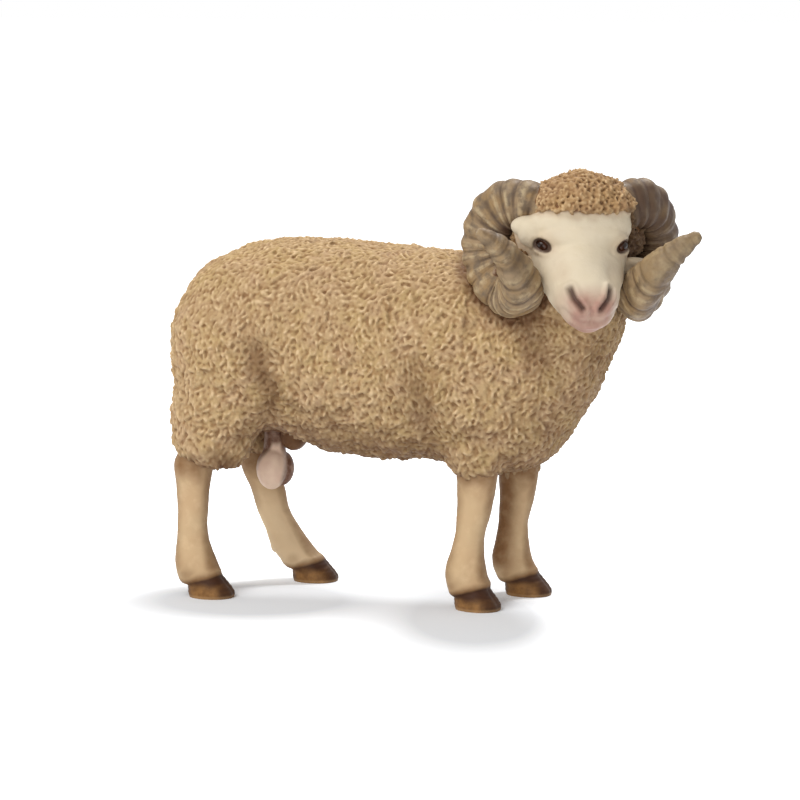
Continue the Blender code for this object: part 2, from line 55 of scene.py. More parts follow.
def aimed(spot, back):
    # at the spot, with its own Z axis along back
    return Matrix.Translation(spot) @ back.to_track_quat("Z", "Y").to_matrix().to_4x4()


# camera
camera = {"turn": 15.0, "rise": 8.0, "distance": 600.0, "lens": 148.5, "sensor": 36, "near": 0.01, "far": 20,
          "target": Vector((2.98, 0.93, 36.0))}


def cameraBack():
    turn, rise = math.radians(camera["turn"]), math.radians(camera["rise"])
    return Vector((math.sin(turn)*math.cos(rise), -math.cos(turn)*math.cos(rise), math.sin(rise)))


def setCamera():
    lens = bpy.data.cameras.new("camera")
    lens.lens, lens.sensor_width = camera["lens"], camera["sensor"]
    lens.clip_start, lens.clip_end = camera["near"], camera["far"]
    eye = linked("camera", lens)
    eye.matrix_world = aimed(toFrame @ (camera["target"] + cameraBack()*camera["distance"]), cameraBack())
    bpy.context.scene.camera = eye


setCamera()
print("camera set")


# shared mesh helpers
def ringOf(centre, across, upward, halfAcross, halfUpward, squareness=2.0, count=32):
    points = []
    for step in range(count):
        angle = 2*math.pi*step/count
        c, s = math.cos(angle), math.sin(angle)
        points.append(centre + across*(math.copysign(abs(c)**(2/squareness), c)*halfAcross)
                      + upward*(math.copysign(abs(s)**(2/squareness), s)*halfUpward))
    return points


def skinOver(rings):
    count = len(rings[0])
    points = [p for r in rings for p in r]
    faces = [(k*count + i, k*count + (i + 1) % count, (k + 1)*count + (i + 1) % count, (k + 1)*count + i)
             for k in range(len(rings) - 1) for i in range(count)]
    for k in (0, len(rings) - 1):
        points.append(sum(rings[k], Vector())/count)
        faces += [(k*count + i, k*count + (i + 1) % count, len(points) - 1) for i in range(count)]
    mesh = bpy.data.meshes.new("skin")
    mesh.from_pydata([tuple(p) for p in points], [], faces)
    return facedOut(mesh)


def opened(*meshes):
    bm = bmesh.new()
    for mesh in meshes:
        bm.from_mesh(mesh)
    return bm


def written(bm, mesh=None):
    mesh = mesh or bpy.data.meshes.new("form")
    bm.to_mesh(mesh)
    bm.free()
    return mesh


def facedOut(mesh):
    bm = opened(mesh)
    bmesh.ops.remove_doubles(bm, verts=bm.verts, dist=1e-5)
    bmesh.ops.recalc_face_normals(bm, faces=bm.faces)
    return written(bm, mesh)


def ballOf(centre, half):
    bm = opened()
    matrix = Matrix.Translation(centre) @ Matrix.Diagonal((*half, 1))
    bmesh.ops.create_uvsphere(bm, u_segments=28, v_segments=18, radius=1, matrix=matrix)
    return written(bm)


def onSide(place, side):
    return Vector((place[0], place[1]*side, place[2]))


def eased(table, between=4):
    # a smooth line through every row of the table
    rows = np.array(table, float)
    ends = np.vstack([2*rows[0] - rows[1], rows, 2*rows[-1] - rows[-2]])
    out = []
    for k in range(1, len(ends) - 2):
        a, b, c, d = ends[k - 1:k + 3]
        for step in range(between):
            t = step/between
            out.append(0.5*(2*b + (c - a)*t + (2*a - 5*b + 4*c - d)*t*t + (3*b - a - 3*c + d)*t**3))
    out.append(rows[-1])
    return out


def evaluated(mesh, build):
    helper = linked("helper", mesh)
    build(helper)
    graph = bpy.context.evaluated_depsgraph_get()
    result = bpy.data.meshes.new_from_object(helper.evaluated_get(graph))
    helper.modifiers.clear()
    bpy.data.objects.remove(helper)
    return result


def fused(helper, grain, rounds):
    voxels = helper.modifiers.new("voxels", "REMESH")
    voxels.mode, voxels.voxel_size = "VOXEL", grain
    if rounds:
        soften = helper.modifiers.new("soften", "SMOOTH")
        soften.factor, soften.iterations = 0.5, rounds


def grownTogether(meshes, settings):
    # one closed skin over all the forms, softened where they meet, and swollen into tufts where asked
    def remesh(helper):
        fused(helper, settings["grain"], settings["rounds"])
        if "tufts" in settings:
            size, height = settings["tufts"]
            cells = bpy.data.textures.new("tufts", "VORONOI")
            cells.noise_scale = size
            swell = helper.modifiers.new("tufts", "DISPLACE")
            swell.texture, swell.texture_coords, swell.mid_level, swell.strength = cells, "LOCAL", 0.5, -height
    return evaluated(written(opened(*meshes)), remesh)


def settled(mesh, rounds):
    # where the points come to lie when everything fine is levelled out
    ends = np.empty(len(mesh.edges)*2, np.int64)
    mesh.edges.foreach_get("vertices", ends)
    a, b, co = ends[0::2], ends[1::2], pointsOf(mesh)
    joined = np.maximum(np.bincount(ends, minlength=len(co)), 1)
    for _ in range(rounds):
        co = np.stack([(np.bincount(a, co[b, k], len(co)) + np.bincount(b, co[a, k], len(co)))/joined
                       for k in range(3)], 1)
    return co


def reliefOf(mesh, rounds):
    # how far each point stands above the levelled surface, and that surface's normals
    level, calm = mesh.copy(), settled(mesh, rounds)
    movePoints(level, calm)
    no = normalsOf(level)
    return np.einsum("ij,ij->i", pointsOf(mesh) - calm, no), no


def pointsOf(mesh, what="co"):
    values = np.empty(len(mesh.vertices)*3)
    mesh.vertices.foreach_get(what, values)
    return values.reshape(-1, 3)


def normalsOf(mesh):
    return pointsOf(mesh, "normal")


def movePoints(mesh, co):
    mesh.vertices.foreach_set("co", co.ravel())
    mesh.update()


def pushOut(mesh, lift):
    # every point moves along its normal
    movePoints(mesh, pointsOf(mesh) + normalsOf(mesh)*lift[:, None])


def grainOf(points, size, seed, octaves=1):
    # smooth noise from -1 to 1, with lumps of about the given size in millimetres
    shift = Vector((seed*7.31, seed*3.17, seed*5.73))
    if octaves == 1:
        return np.array([noise.noise(Vector(p)/size + shift) for p in points])
    return np.array([noise.fractal(Vector(p)/size + shift, 0.8, 2.1, octaves) for p in points])


def store(mesh, name, values):
    values = np.asarray(values, np.float32)
    if values.ndim == 2:
        layer = mesh.attributes.new(name, "FLOAT_VECTOR", "POINT")
        layer.data.foreach_set("vector", values.ravel())
    else:
        layer = mesh.attributes.new(name, "FLOAT", "POINT")
        layer.data.foreach_set("value", values)


def storeShares(mesh, **shares):
    for name, values in shares.items():
        store(mesh, name, np.clip(values, 0, 1))


def storeFlow(mesh, no, flow, swirl):
    # the way the wool lies, turned by the swirl round the normals
    store(mesh, "flow", flow*np.cos(swirl)[:, None] + np.cross(no, flow)*np.sin(swirl)[:, None])


def stored(mesh, name):
    return np.array([item.value for item in mesh.attributes[name].data])


def hump(distance, width):
    return np.exp(-(distance/width)**2)


def spotAt(points, centre, width, stretch=(1, 1, 1)):
    # a soft spot round a point, narrower along an axis with more stretch
    return hump(np.linalg.norm((points - np.array(centre))*stretch, axis=1), width)


def ramp(value, low, high):
    t = np.clip((value - low)/(high - low), 0, 1)
    return t*t*(3 - 2*t)


def nearLine(points, line):
    # distance of each point to a line of corners, and how far along the line it lies from 0 to 1
    line = np.array(line, float)
    lengths = np.linalg.norm(line[1:] - line[:-1], axis=1)
    best, along, passed = np.full(len(points), 1e9), np.zeros(len(points)), 0.0
    for a, b, length in zip(line, line[1:], lengths):
        t = np.clip(((points - a) @ (b - a))/length**2, 0, 1)
        distance = np.linalg.norm(points - a - t[:, None]*(b - a), axis=1)
        closer = distance < best
        best[closer], along[closer] = distance[closer], ((passed + t*length)/lengths.sum())[closer]
        passed += length
    return best, along


def treeOf(mesh):
    return BVHTree.FromPolygons([v.co[:] for v in mesh.vertices], [p.vertices[:] for p in mesh.polygons])


def cutFlat(bm, at, across, outer):
    # cuts a closed mesh by a plane, clears its outer or inner side and closes the hole
    cut = bmesh.ops.bisect_plane(bm, geom=bm.verts[:] + bm.edges[:] + bm.faces[:], plane_co=at, plane_no=across,
                                 clear_outer=outer, clear_inner=not outer)
    rim = [e for e in cut["geom_cut"] if isinstance(e, bmesh.types.BMEdge)]
    return rim, bmesh.ops.holes_fill(bm, edges=rim)["faces"]


def place(name, mesh, material, node):
    mesh.transform(toFrame)
    mesh.name = name
    mesh.materials.clear()
    mesh.materials.append(material)
    mesh.polygons.foreach_set("use_smooth", [True]*len(mesh.polygons))
    mesh.polygons.foreach_set("material_index", [0]*len(mesh.polygons))
    piece = linked(name, mesh)
    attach(piece, "root")
    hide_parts(node)


# shared node helpers
def colourOf(red, green, blue):
    return tuple((v/12.92 if v <= 0.04045 else ((v + 0.055)/1.055)**2.4)
                 for v in (red/255, green/255, blue/255)) + (1.0,)


def plug(tree, sockets, values):
    for key, value in values.items():
        if isinstance(value, bpy.types.NodeSocket):
            tree.links.new(value, sockets[key])
        else:
            sockets[key].default_value = value


def add(tree, kind, inputs=None, **settings):
    node = tree.nodes.new(kind)
    for key, value in settings.items():
        setattr(node, key, value)
    plug(tree, node.inputs, inputs or {})
    return node


def attributeOf(tree, name):
    return add(tree, "ShaderNodeAttribute", attribute_name=name).outputs["Fac"]


def objectNoise(tree, size, detail, offset=(0, 0, 0)):
    place = add(tree, "ShaderNodeTexCoord").outputs["Object"]
    moved = add(tree, "ShaderNodeMapping", {"Vector": place, "Location": offset}).outputs[0]
    return add(tree, "ShaderNodeTexNoise", {"Vector": moved, "Scale": 1/(size*mm), "Detail": detail,
                                            "Roughness": 0.55}).outputs["Fac"]


def spread(tree, value, low, high, toLow=0.0, toHigh=1.0):
    return add(tree, "ShaderNodeMapRange", {"Value": value, "From Min": low, "From Max": high,
                                            "To Min": toLow, "To Max": toHigh}).outputs[0]


def times(tree, a, b):
    return add(tree, "ShaderNodeMath", {0: a, 1: b}, operation="MULTIPLY").outputs[0]


def plus(tree, a, b):
    return add(tree, "ShaderNodeMath", {0: a, 1: b}, operation="ADD", use_clamp=True).outputs[0]


def tinted(tree, amount, under, over):
    # colour under, covered by colour over as far as the amount says
    return add(tree, "ShaderNodeMix", {"Factor": amount, 6: under, 7: over}, data_type="RGBA").outputs[2]


# A tone is a colour, or a tone and the layers over it. A layer is a tone and its covers, whose product says how
# much of it shows. A cover is the name of a stored value, or that name with the range it comes from and the
# range it is set to, or noise: lump size in millimetres, detail, the two ranges and an offset.
def coverOf(tree, cover):
    if isinstance(cover, str):
        return attributeOf(tree, cover)
    if isinstance(cover[0], str):
        return spread(tree, attributeOf(tree, cover[0]), *cover[1:])
    size, detail, *ranges = cover
    offset = ranges.pop() if isinstance(ranges[-1], tuple) else (0, 0, 0)
    return spread(tree, objectNoise(tree, size, detail, offset), *ranges)


def covered(tree, covers):
    amount = coverOf(tree, covers[0])
    for cover in covers[1:]:
        amount = times(tree, amount, coverOf(tree, cover))
    return amount


def toned(tree, tone):
    if not isinstance(tone[0], tuple):
        return colourOf(*tone)
    shown = toned(tree, tone[0])
    for over, *covers in tone[1:]:
        shown = tinted(tree, covered(tree, covers), shown, toned(tree, over))
    return shown


def shaderOf(name):
    material = bpy.data.materials.new(name)
    material.use_nodes = True
    return material, material.node_tree, material.node_tree.nodes["Principled BSDF"].inputs


def painted(name, tone, rough, bumps=(), specular=0.3, gloss=0.0):
    # rough is a tuple of covers, a bump is a stored value or a lump size, its depth in millimetres and strength
    material, tree, shader = shaderOf(name)
    plug(tree, shader, {"Base Color": toned(tree, tone), "Roughness": covered(tree, rough), "Coat Roughness": 0.05,
                        "Specular IOR Level": specular, "Coat Weight": gloss})
    for what, depth, strength in bumps:
        height = attributeOf(tree, what) if isinstance(what, str) else objectNoise(tree, what, 4.0)
        bump = add(tree, "ShaderNodeBump", {"Height": height, "Distance": depth*mm, "Strength": strength})
        for under in shader["Normal"].links:
            tree.links.new(under.from_socket, bump.inputs["Normal"])
        tree.links.new(bump.outputs[0], shader["Normal"])
    return material


# torso
# One row for each section from rump to neck: upper forward, upper height, lower forward, lower height,
# width, sideways. A sleeve row is height, forward, depth, width, out from the middle, pull to the leg.
torso = {
    "length": 76.0, "height": 65.0, "width": 35.0, "squareness": 2.3, "inset": 0.3,
    "grain": 0.5, "rounds": 14, "tufts": (7.2, 0.55), "groin": ((-17.4, 1.5, 28.4), (2.8, 3.4, 3.0)),
    "sections": (
        (-0.49, 0.77, -0.487, 0.59, 0.46, 0.0), (-0.474, 0.855, -0.468, 0.5, 0.7, 0.0),
        (-0.43, 0.925, -0.41, 0.46, 0.86, 0.0), (-0.355, 0.97, -0.342, 0.46, 0.96, 0.0),
        (-0.263, 1.0, -0.25, 0.465, 0.99, 0.0), (-0.13, 1.0, -0.13, 0.42, 1.0, 0.0),
        (0.0, 0.993, 0.008, 0.4, 1.0, 0.0), (0.118, 0.98, 0.132, 0.405, 1.0, 0.0),
        (0.211, 0.975, 0.25, 0.385, 0.97, 0.0), (0.28, 0.99, 0.35, 0.38, 0.9, 0.0),
        (0.325, 1.02, 0.415, 0.42, 0.82, 0.0), (0.358, 1.055, 0.47, 0.5, 0.75, -0.01),
        (0.385, 1.09, 0.518, 0.59, 0.7, -0.03), (0.412, 1.11, 0.56, 0.705, 0.64, -0.05),
        (0.44, 1.11, 0.59, 0.805, 0.58, -0.08), (0.485, 1.08, 0.588, 0.89, 0.47, -0.12)),
    "foreSleeve": (
        (0.372, 0.255, 0.098, 0.175, 0.47, 0.9), (0.392, 0.25, 0.118, 0.205, 0.47, 0.8),
        (0.43, 0.252, 0.152, 0.26, 0.475, 0.6), (0.485, 0.255, 0.192, 0.31, 0.48, 0.3),
        (0.56, 0.262, 0.22, 0.34, 0.51, 0.0),
        (0.7, 0.25, 0.27, 0.34, 0.52, 0.0), (0.82, 0.25, 0.2, 0.26, 0.46, 0.0)),
    "hindSleeve": (
        (0.372, -0.363, 0.07, 0.17, 0.54, 0.0), (0.388, -0.378, 0.118, 0.22, 0.54, 0.0),
        (0.415, -0.392, 0.175, 0.27, 0.54, 0.0), (0.46, -0.385, 0.205, 0.31, 0.54, 0.0),
        (0.53, -0.358, 0.257, 0.34, 0.54, 0.0),
        (0.64, -0.325, 0.305, 0.35, 0.53, 0.0), (0.76, -0.31, 0.3, 0.32, 0.5, 0.0),
        (0.86, -0.295, 0.22, 0.24, 0.42, 0.0)),
}

# Where each foot stands (shares of length and width), how much lower and further forward its fleece ends, the
# turn of its toe in degrees, and the line of the leg: height and forward (shares of the fleece edge), depth and
# width (shares of the cannon bone). In the paint, rear is how dark the painted shade behind the leg is, from and
# to which depth it grows and from what height it lies, darkFrom is the height from which the hoof is dark, and
# pale is painted light: how much paler the lower leg is made, on the far hind leg that the body shades.
legs = {
    "fleeceEdge": 24.2, "cannonDepth": 5.6, "cannonWidth": 4.8,
    "hoofLength": 8.7, "hoofWidth": 7.1, "hoofHeight": 4.6, "grain": 0.24, "rounds": 8,
    "clawBack": 0.42, "claw": ((0.25, 0.85, -0.3), (0.7, 0.8, 1.05)),
    "usual": {"drop": 0.0, "advance": 0.0, "rear": (0.5, 0.3, 1.0, 3), "darkFrom": 1.6, "pale": 0.0},
    "right_foreleg": {
        "sleeve": "foreSleeve", "foot": (0.262, -0.235), "toe": -16, "darkFrom": 1.1,
        "line": ((1.36, -0.01, 1.22, 1.18), (1.16, -0.01, 1.36, 1.26), (1.02, -0.01, 1.34, 1.24),
                 (0.84, -0.02, 1.2, 1.14), (0.59, -0.06, 0.96, 1.0), (0.44, -0.08, 1.07, 1.04),
                 (0.3, -0.09, 1.29, 1.21), (0.18, -0.07, 1.38, 1.27), (0.1, -0.06, 1.2, 1.12))},
    "left_foreleg": {
        "sleeve": "foreSleeve", "foot": (0.338, 0.214), "toe": -4, "drop": 0.035, "rear": (1.0, -0.95, 0.65, 3),
        "line": ((1.28, -0.075, 1.2, 1.18), (1.07, -0.08, 1.32, 1.25), (0.88, -0.085, 1.28, 1.22),
                 (0.74, -0.1, 1.11, 1.1), (0.59, -0.12, 0.98, 1.0), (0.45, -0.13, 1.05, 1.04),
                 (0.3, -0.13, 1.25, 1.21), (0.18, -0.1, 1.4, 1.27), (0.1, -0.075, 1.22, 1.12))},
    "right_hind_leg": {
        "sleeve": "hindSleeve", "foot": (-0.393, -0.269), "toe": -4,
        "line": ((1.36, 0.0, 1.14, 1.12), (1.16, -0.07, 1.32, 1.24), (1.01, -0.13, 1.34, 1.22),
                 (0.85, -0.14, 1.13, 1.08), (0.65, -0.15, 0.96, 0.98), (0.43, -0.145, 1.07, 1.02),
                 (0.28, -0.12, 1.34, 1.21), (0.18, -0.1, 1.45, 1.27), (0.1, -0.08, 1.25, 1.12))},
    "left_hind_leg": {
        "sleeve": "hindSleeve", "foot": (-0.208, 0.289), "toe": 3, "drop": 0.045, "advance": 0.022,
        "rear": (0.6, 0.1, 1.0, 11), "pale": 0.85,
        "line": ((1.3, -0.5, 1.26, 1.2), (1.07, -0.485, 1.3, 1.2), (0.87, -0.45, 1.23, 1.17),
                 (0.71, -0.39, 1.12, 1.08), (0.54, -0.34, 1.1, 1.0), (0.39, -0.26, 1.2, 1.04),
                 (0.27, -0.19, 1.38, 1.21), (0.18, -0.12, 1.45, 1.27), (0.1, -0.08, 1.28, 1.12))},
}
legNames = ("right_foreleg", "left_foreleg", "right_hind_leg", "left_hind_leg")
for name in legNames:
    legs[name] = {**legs["usual"], **legs[name]}


def footOf(name):
    forward, aside = legs[name]["foot"]
    return Vector((forward*torso["length"], aside*torso["width"], 0))


def legMiddle(name, z):
    rows = np.array(legs[name]["line"])[::-1]
    forward = np.interp(z, rows[:, 0]*legs["fleeceEdge"], rows[:, 1]*legs["fleeceEdge"])
    return footOf(name) + Vector((forward, 0, z))


def torsoForms():
    length, height, width = torso["length"], torso["height"], torso["width"]
    rings = []
    for topX, topZ, lowX, lowZ, wide, aside in eased(torso["sections"]):
        top = Vector((topX*length, aside*width, topZ*height))
        low = Vector((lowX*length, aside*width, lowZ*height))
        rings.append(ringOf((top + low)/2, alongY, (top - low).normalized(), wide*width/2,
                            (top - low).length/2, torso["squareness"], 48))
    forms = [skinOver(rings)]
    for name in legNames:
        leg = legs[name]
        side = math.copysign(1, leg["foot"][1])
        rings = []
        for tall, forward, deep, wide, out, pull in eased(torso[leg["sleeve"]]):
            z = (tall - leg["drop"]*pull)*height
            middle = Vector(((forward + leg["advance"])*length, side*out*width/2, z))
            middle = middle.lerp(legMiddle(name, z), pull)
            rings.append(ringOf(middle, alongX, alongY, deep*length/2, wide*width/2))
        forms.append(skinOver(rings))
    return forms + [ballOf(*torso["groin"])]


# Hollows that run down the fleece: their line, depth and width, and how dark the painted shade lies in them
folds = {
    "flank": {"line": ((-19.5, -17.5, 53), (-19.1, -17.5, 48.7), (-18.2, -17.5, 43.2), (-15.9, -17.3, 38.8),
                       (-17.0, -17, 34.9), (-18.5, -16, 31)), "depth": 1.0, "width": 2.0, "dark": 0.72},
    "shoulder": {"line": ((10.0, -17.5, 50), (11, -17.5, 42), (11.9, -17.5, 35), (12.5, -16.5, 28)),
                 "depth": 0.8, "width": 2.5, "dark": 0.5},
    "farFlank": {"line": ((-19.5, 17.5, 53), (-18.2, 17.5, 43.2), (-17.0, 17, 34.9), (-18.5, 16, 31)),
                 "depth": 1.0, "width": 2.2, "dark": 0.75},
    "farShoulder": {"line": ((10.0, 17.5, 50), (11, 17.5, 42), (11.9, 17.5, 35), (12.5, 16.5, 28)),
                    "depth": 0.8, "width": 2.2, "dark": 0.6},
    "neck": {"line": ((24, -14, 60), (29, -15, 53), (33, -13, 45)), "depth": 0.5, "width": 2.2, "dark": 0.45},
}
foldView = np.array((1.0, 0.4, 1.0))   # folds are followed as they are seen from the side

# Spots of painted shade on the fleece, between the hind legs, at the groin, at the near hind hem and under the near
# horn: how dark, their middle, width and stretch
woolShadeSpots = ((1.3, (-20.5, 0.0, 29.0), 6.5, (1, 0.6, 1)), (1.5, torso["groin"][0], 4.4),
             (1.0, (-26.6, -12.0, 24.8), 3.2), (0.75, (29.5, -13.5, 53.5), 5.0, (1, 1, 1.5)))


def alongFold(points, fold):
    return nearLine(points*foldView, np.array(fold["line"])*foldView)


def torsoSkin():
    mesh = grownTogether(torsoForms(), torso)
    co = pointsOf(mesh)
    lift = 0.28*grainOf(co, 2.6, 2) - torso["inset"]
    for fold in folds.values():
        distance, along = alongFold(co, fold)
        lift -= fold["depth"]*hump(distance, fold["width"])*ramp(along, 0, 0.3)*ramp(1 - along, 0, 0.15)
    pushOut(mesh, lift)
    co, no = pointsOf(mesh), normalsOf(mesh)

    # the locks run back along the spine, slant down the flank and hang at the hems
    top, low, front = ramp(no[:, 2], 0.35, 0.85), ramp(33 - co[:, 2], 0, 7), ramp(co[:, 0], 18, 34)
    flow = np.stack([-0.75*top - 0.3*(1 - top)*(1 - front)*(1 - low),
                     0.45*np.sign(co[:, 1])*top*(1 - front), -1.0*(1 - 0.85*top)], 1)
    swirl = (grainOf(co, 6.0, 3)*1.6 + grainOf(co, 2.4, 6)*1.1)*(1 - 0.7*low)
    storeFlow(mesh, no, flow/np.linalg.norm(flow, axis=1)[:, None], swirl)
    store(mesh, "size", 1.0 + 0.18*low + 0.25*grainOf(co, 4.5, 4) - 0.14*top - 0.06*front)
    return mesh


def woolWashAndShade(mesh, no):
    # painted shade and brown wash gather in the folds, on the underside, on the forward-facing chest, at the hems
    # and between the legs
    co = pointsOf(mesh)
    washesAndShades = []
    for fold in folds.values():
        distance, along = alongFold(co, fold)
        washesAndShades.append(fold["dark"]*hump(distance, fold["width"]*1.4)*ramp(along, 0, 0.4))
    washesAndShades += [dark*spotAt(co, *spot) for dark, *spot in woolShadeSpots]
    washesAndShades += [ramp(-no[:, 2], 0.25, 0.9)*0.7, ramp(27.0 - co[:, 2], 0, 4)*0.38, 0.42*ramp(no[:, 0], 0.2, 0.8),
               ramp(30 - co[:, 2], 0, 5)*ramp(9 - np.abs(co[:, 1]), 0, 5)*0.6]
    # and a painted shadow of the near horn on the fleece behind its lower edge, as the camera sees it
    back = np.array(cameraBack())
    arc = np.array([headMatrix(nod=False) @ hornPoint(turn, -1) for turn in range(120, 241, 20)])
    distance, _ = nearLine(co - (co @ back)[:, None]*back, arc - (arc @ back)[:, None]*back)
    behind = np.abs((co - arc.mean(0)) @ back + 8)
    washesAndShades.append(0.85*ramp(7.6 - distance, 0, 2.8)*ramp(13 - behind, 0, 3))
    wash = np.clip(np.maximum.reduce(washesAndShades), 0, 1)**(1 + 0.7*grainOf(co, 2.2, 12))
    return wash + 0.08*grainOf(co, 3.0, 13)


# head space
headPlace = {"eyeLine": Vector((39.976, -15.995, 66.56)), "turn": -69.5, "nod": 28.0, "tilt": -1.4}


def headMatrix(nod=True):
    return (Matrix.Translation(headPlace["eyeLine"]) @ Matrix.Rotation(math.radians(headPlace["turn"]), 4, "Z")
            @ Matrix.Rotation(math.radians(headPlace["nod"] if nod else 0.0), 4, "Y")
            @ Matrix.Rotation(math.radians(headPlace["tilt"]), 4, "X"))


def inHeadSpace(points):
    toHead = np.array(headMatrix().inverted())
    return points @ toHead[:3, :3].T + toHead[:3, 3]


# horns
# Each horn coils once round an axis that leans out from the head, and drifts outwards to its tip.
# Taper rows are turn in degrees (0 on top, 90 behind, 180 below, 270 in front) and thickness.
horn = {
    "radius": 8.2, "tipRadius": 6.0, "drift": 15.2, "driftFrom": 160.0, "driftSoft": 0.12, "axisTurn": 37.0,
    "thickness": 8.4, "middle": (-4.5, 9.8, -1.0),
    "plug": 3.8, "plugFrom": 45, "plugTurn": 75, "rootBend": (-0.6, -0.75, -0.33),
    "taper": ((-30, 0.9), (0, 0.99), (50, 1.02), (120, 1.0), (180, 0.96), (212, 0.87), (238, 0.74),
              (258, 0.61), (280, 0.47), (298, 0.33), (307, 0.23), (311, 0.13)),
    "steps": 340, "tree": {"Ridges": 19.0, "Ridge height": 0.42, "Keel": 0.085, "Grain": 0.26, "Around": 56},
}
hornPaint = {
    "tone": ((148, 125, 96), ((148, 120, 82), (5.0, 2, 0.38, 0.62)),
             ((106, 90, 72), (2.2, 3, 0.46, 0.66, 0, 0.9, (3, 1, 2))),
             ((190, 168, 132), ("ridge", 0.7, 1.0), (1.5, 3, 0.42, 0.6, 0, 0.75)),
             ((64, 45, 31), ("ridge", 0.34, 0.02), (3.5, 3, 0.4, 0.6, 0.2, 0.8)),
             ((64, 45, 31), ("line", 0.42, 0.26, 0, 0.5)), ((156, 134, 100), ("tusk", 0, 1, 0, 0.55)),
             ((70, 48, 34), "dark")),
    "rough": ((1.2, 3, 0.3, 0.7, 0.48, 0.66),), "bumps": ((0.35, 0.1, 0.5), ("line", 0.12, 0.5)), "specular": 0.35}


def hornAxis(side):
    lean = math.radians(horn["axisTurn"])
    return Vector((math.sin(lean), side*math.cos(lean), 0))


def hornPoint(turn, side):
    angle, lean = math.radians(turn), math.radians(horn["axisTurn"])
    last = horn["taper"][-1][0]
    rooted = max(0.0, (horn["plugFrom"] - turn)/horn["plugTurn"])
    late = max(0.0, (turn - horn["driftFrom"])/(last - horn["driftFrom"]))
    radius, soft = horn["radius"] + (horn["tipRadius"] - horn["radius"])*late, horn["driftSoft"]
    drift = horn["drift"]*(math.hypot(late, soft) - soft)/(math.hypot(1, soft) - soft)
    backward = Vector((-math.cos(lean), side*math.sin(lean), 0))
    return (onSide(horn["middle"], side) + backward*(radius*math.sin(angle))
            + Vector((0, 0, radius*math.cos(angle))) + hornAxis(side)*drift
            + onSide(horn["rootBend"], side)*(horn["plug"]*rooted**2))


def hornPath(side):
    first, last = horn["taper"][0][0], horn["taper"][-1][0]
    turns = np.linspace(first, last, horn["steps"])
    thick = np.interp(turns, *np.array(horn["taper"]).T)*horn["thickness"]/2
    matrix = headMatrix(nod=False)
    points, outward = [], []
    for turn in turns:
        along = (hornPoint(min(turn + 4, last), side) - hornPoint(max(turn - 4, first), side)).normalized()
        points.append(matrix @ hornPoint(turn, side))
        outward.append(matrix.to_3x3() @ along.cross(hornAxis(side)).normalized())
    mesh = bpy.data.meshes.new("hornPath")
    mesh.from_pydata([tuple(p) for p in points], [(k, k + 1) for k in range(len(points) - 1)], [])
    store(mesh, "thick", thick)
    store(mesh, "outward", np.array([tuple(o) for o in outward]))
    store(mesh, "along", (turns - first)/(last - first))
    return mesh


def newTree(name, inputs):
    tree = bpy.data.node_groups.new(name, "GeometryNodeTree")
    named = [(label, kind) for kind, labels in inputs.items() for label in labels]
    for label, kind in (("Geometry", "Geometry"), *named, ("Material", "Material")):
        tree.interface.new_socket(label, in_out="INPUT", socket_type="NodeSocket" + kind)
    tree.interface.new_socket("Geometry", in_out="OUTPUT", socket_type="NodeSocketGeometry")
    return tree, tree.nodes.new("NodeGroupInput").outputs


def closeTree(tree, given, shape):
    done = add(tree, "GeometryNodeSetMaterial", {"Geometry": shape, "Material": given["Material"]}).outputs[0]
    add(tree, "NodeGroupOutput", {0: done})
    return tree


def grownBy(helper, tree, values):
    modifier = helper.modifiers.new("growth", "NODES")
    modifier.node_group = tree
    for item in tree.interface.items_tree:
        if item.item_type == "SOCKET" and item.in_out == "INPUT" and item.name in values:
            modifier[item.identifier] = values[item.name]


def makersFor(tree):
    # short ways to add nodes to a geometry tree, each gives back an output
    def geo(kind, inputs=None, **settings):
        return add(tree, "GeometryNode" + kind, inputs, **settings).outputs[0]

    def calc(kind, *values):
        return add(tree, "ShaderNodeMath", dict(enumerate(values)), operation=kind).outputs[0]

    def scaled(vector, scale):
        return add(tree, "ShaderNodeVectorMath", {0: vector, "Scale": scale}, operation="SCALE").outputs[0]

    def vector(*values):
        return add(tree, "ShaderNodeCombineXYZ", dict(enumerate(values))).outputs[0]

    def named(name, kind="FLOAT"):
        node = add(tree, "GeometryNodeInputNamedAttribute", {"Name": name}, data_type=kind)
        return next(o for o in node.outputs if o.enabled)
    return geo, calc, scaled, vector, named


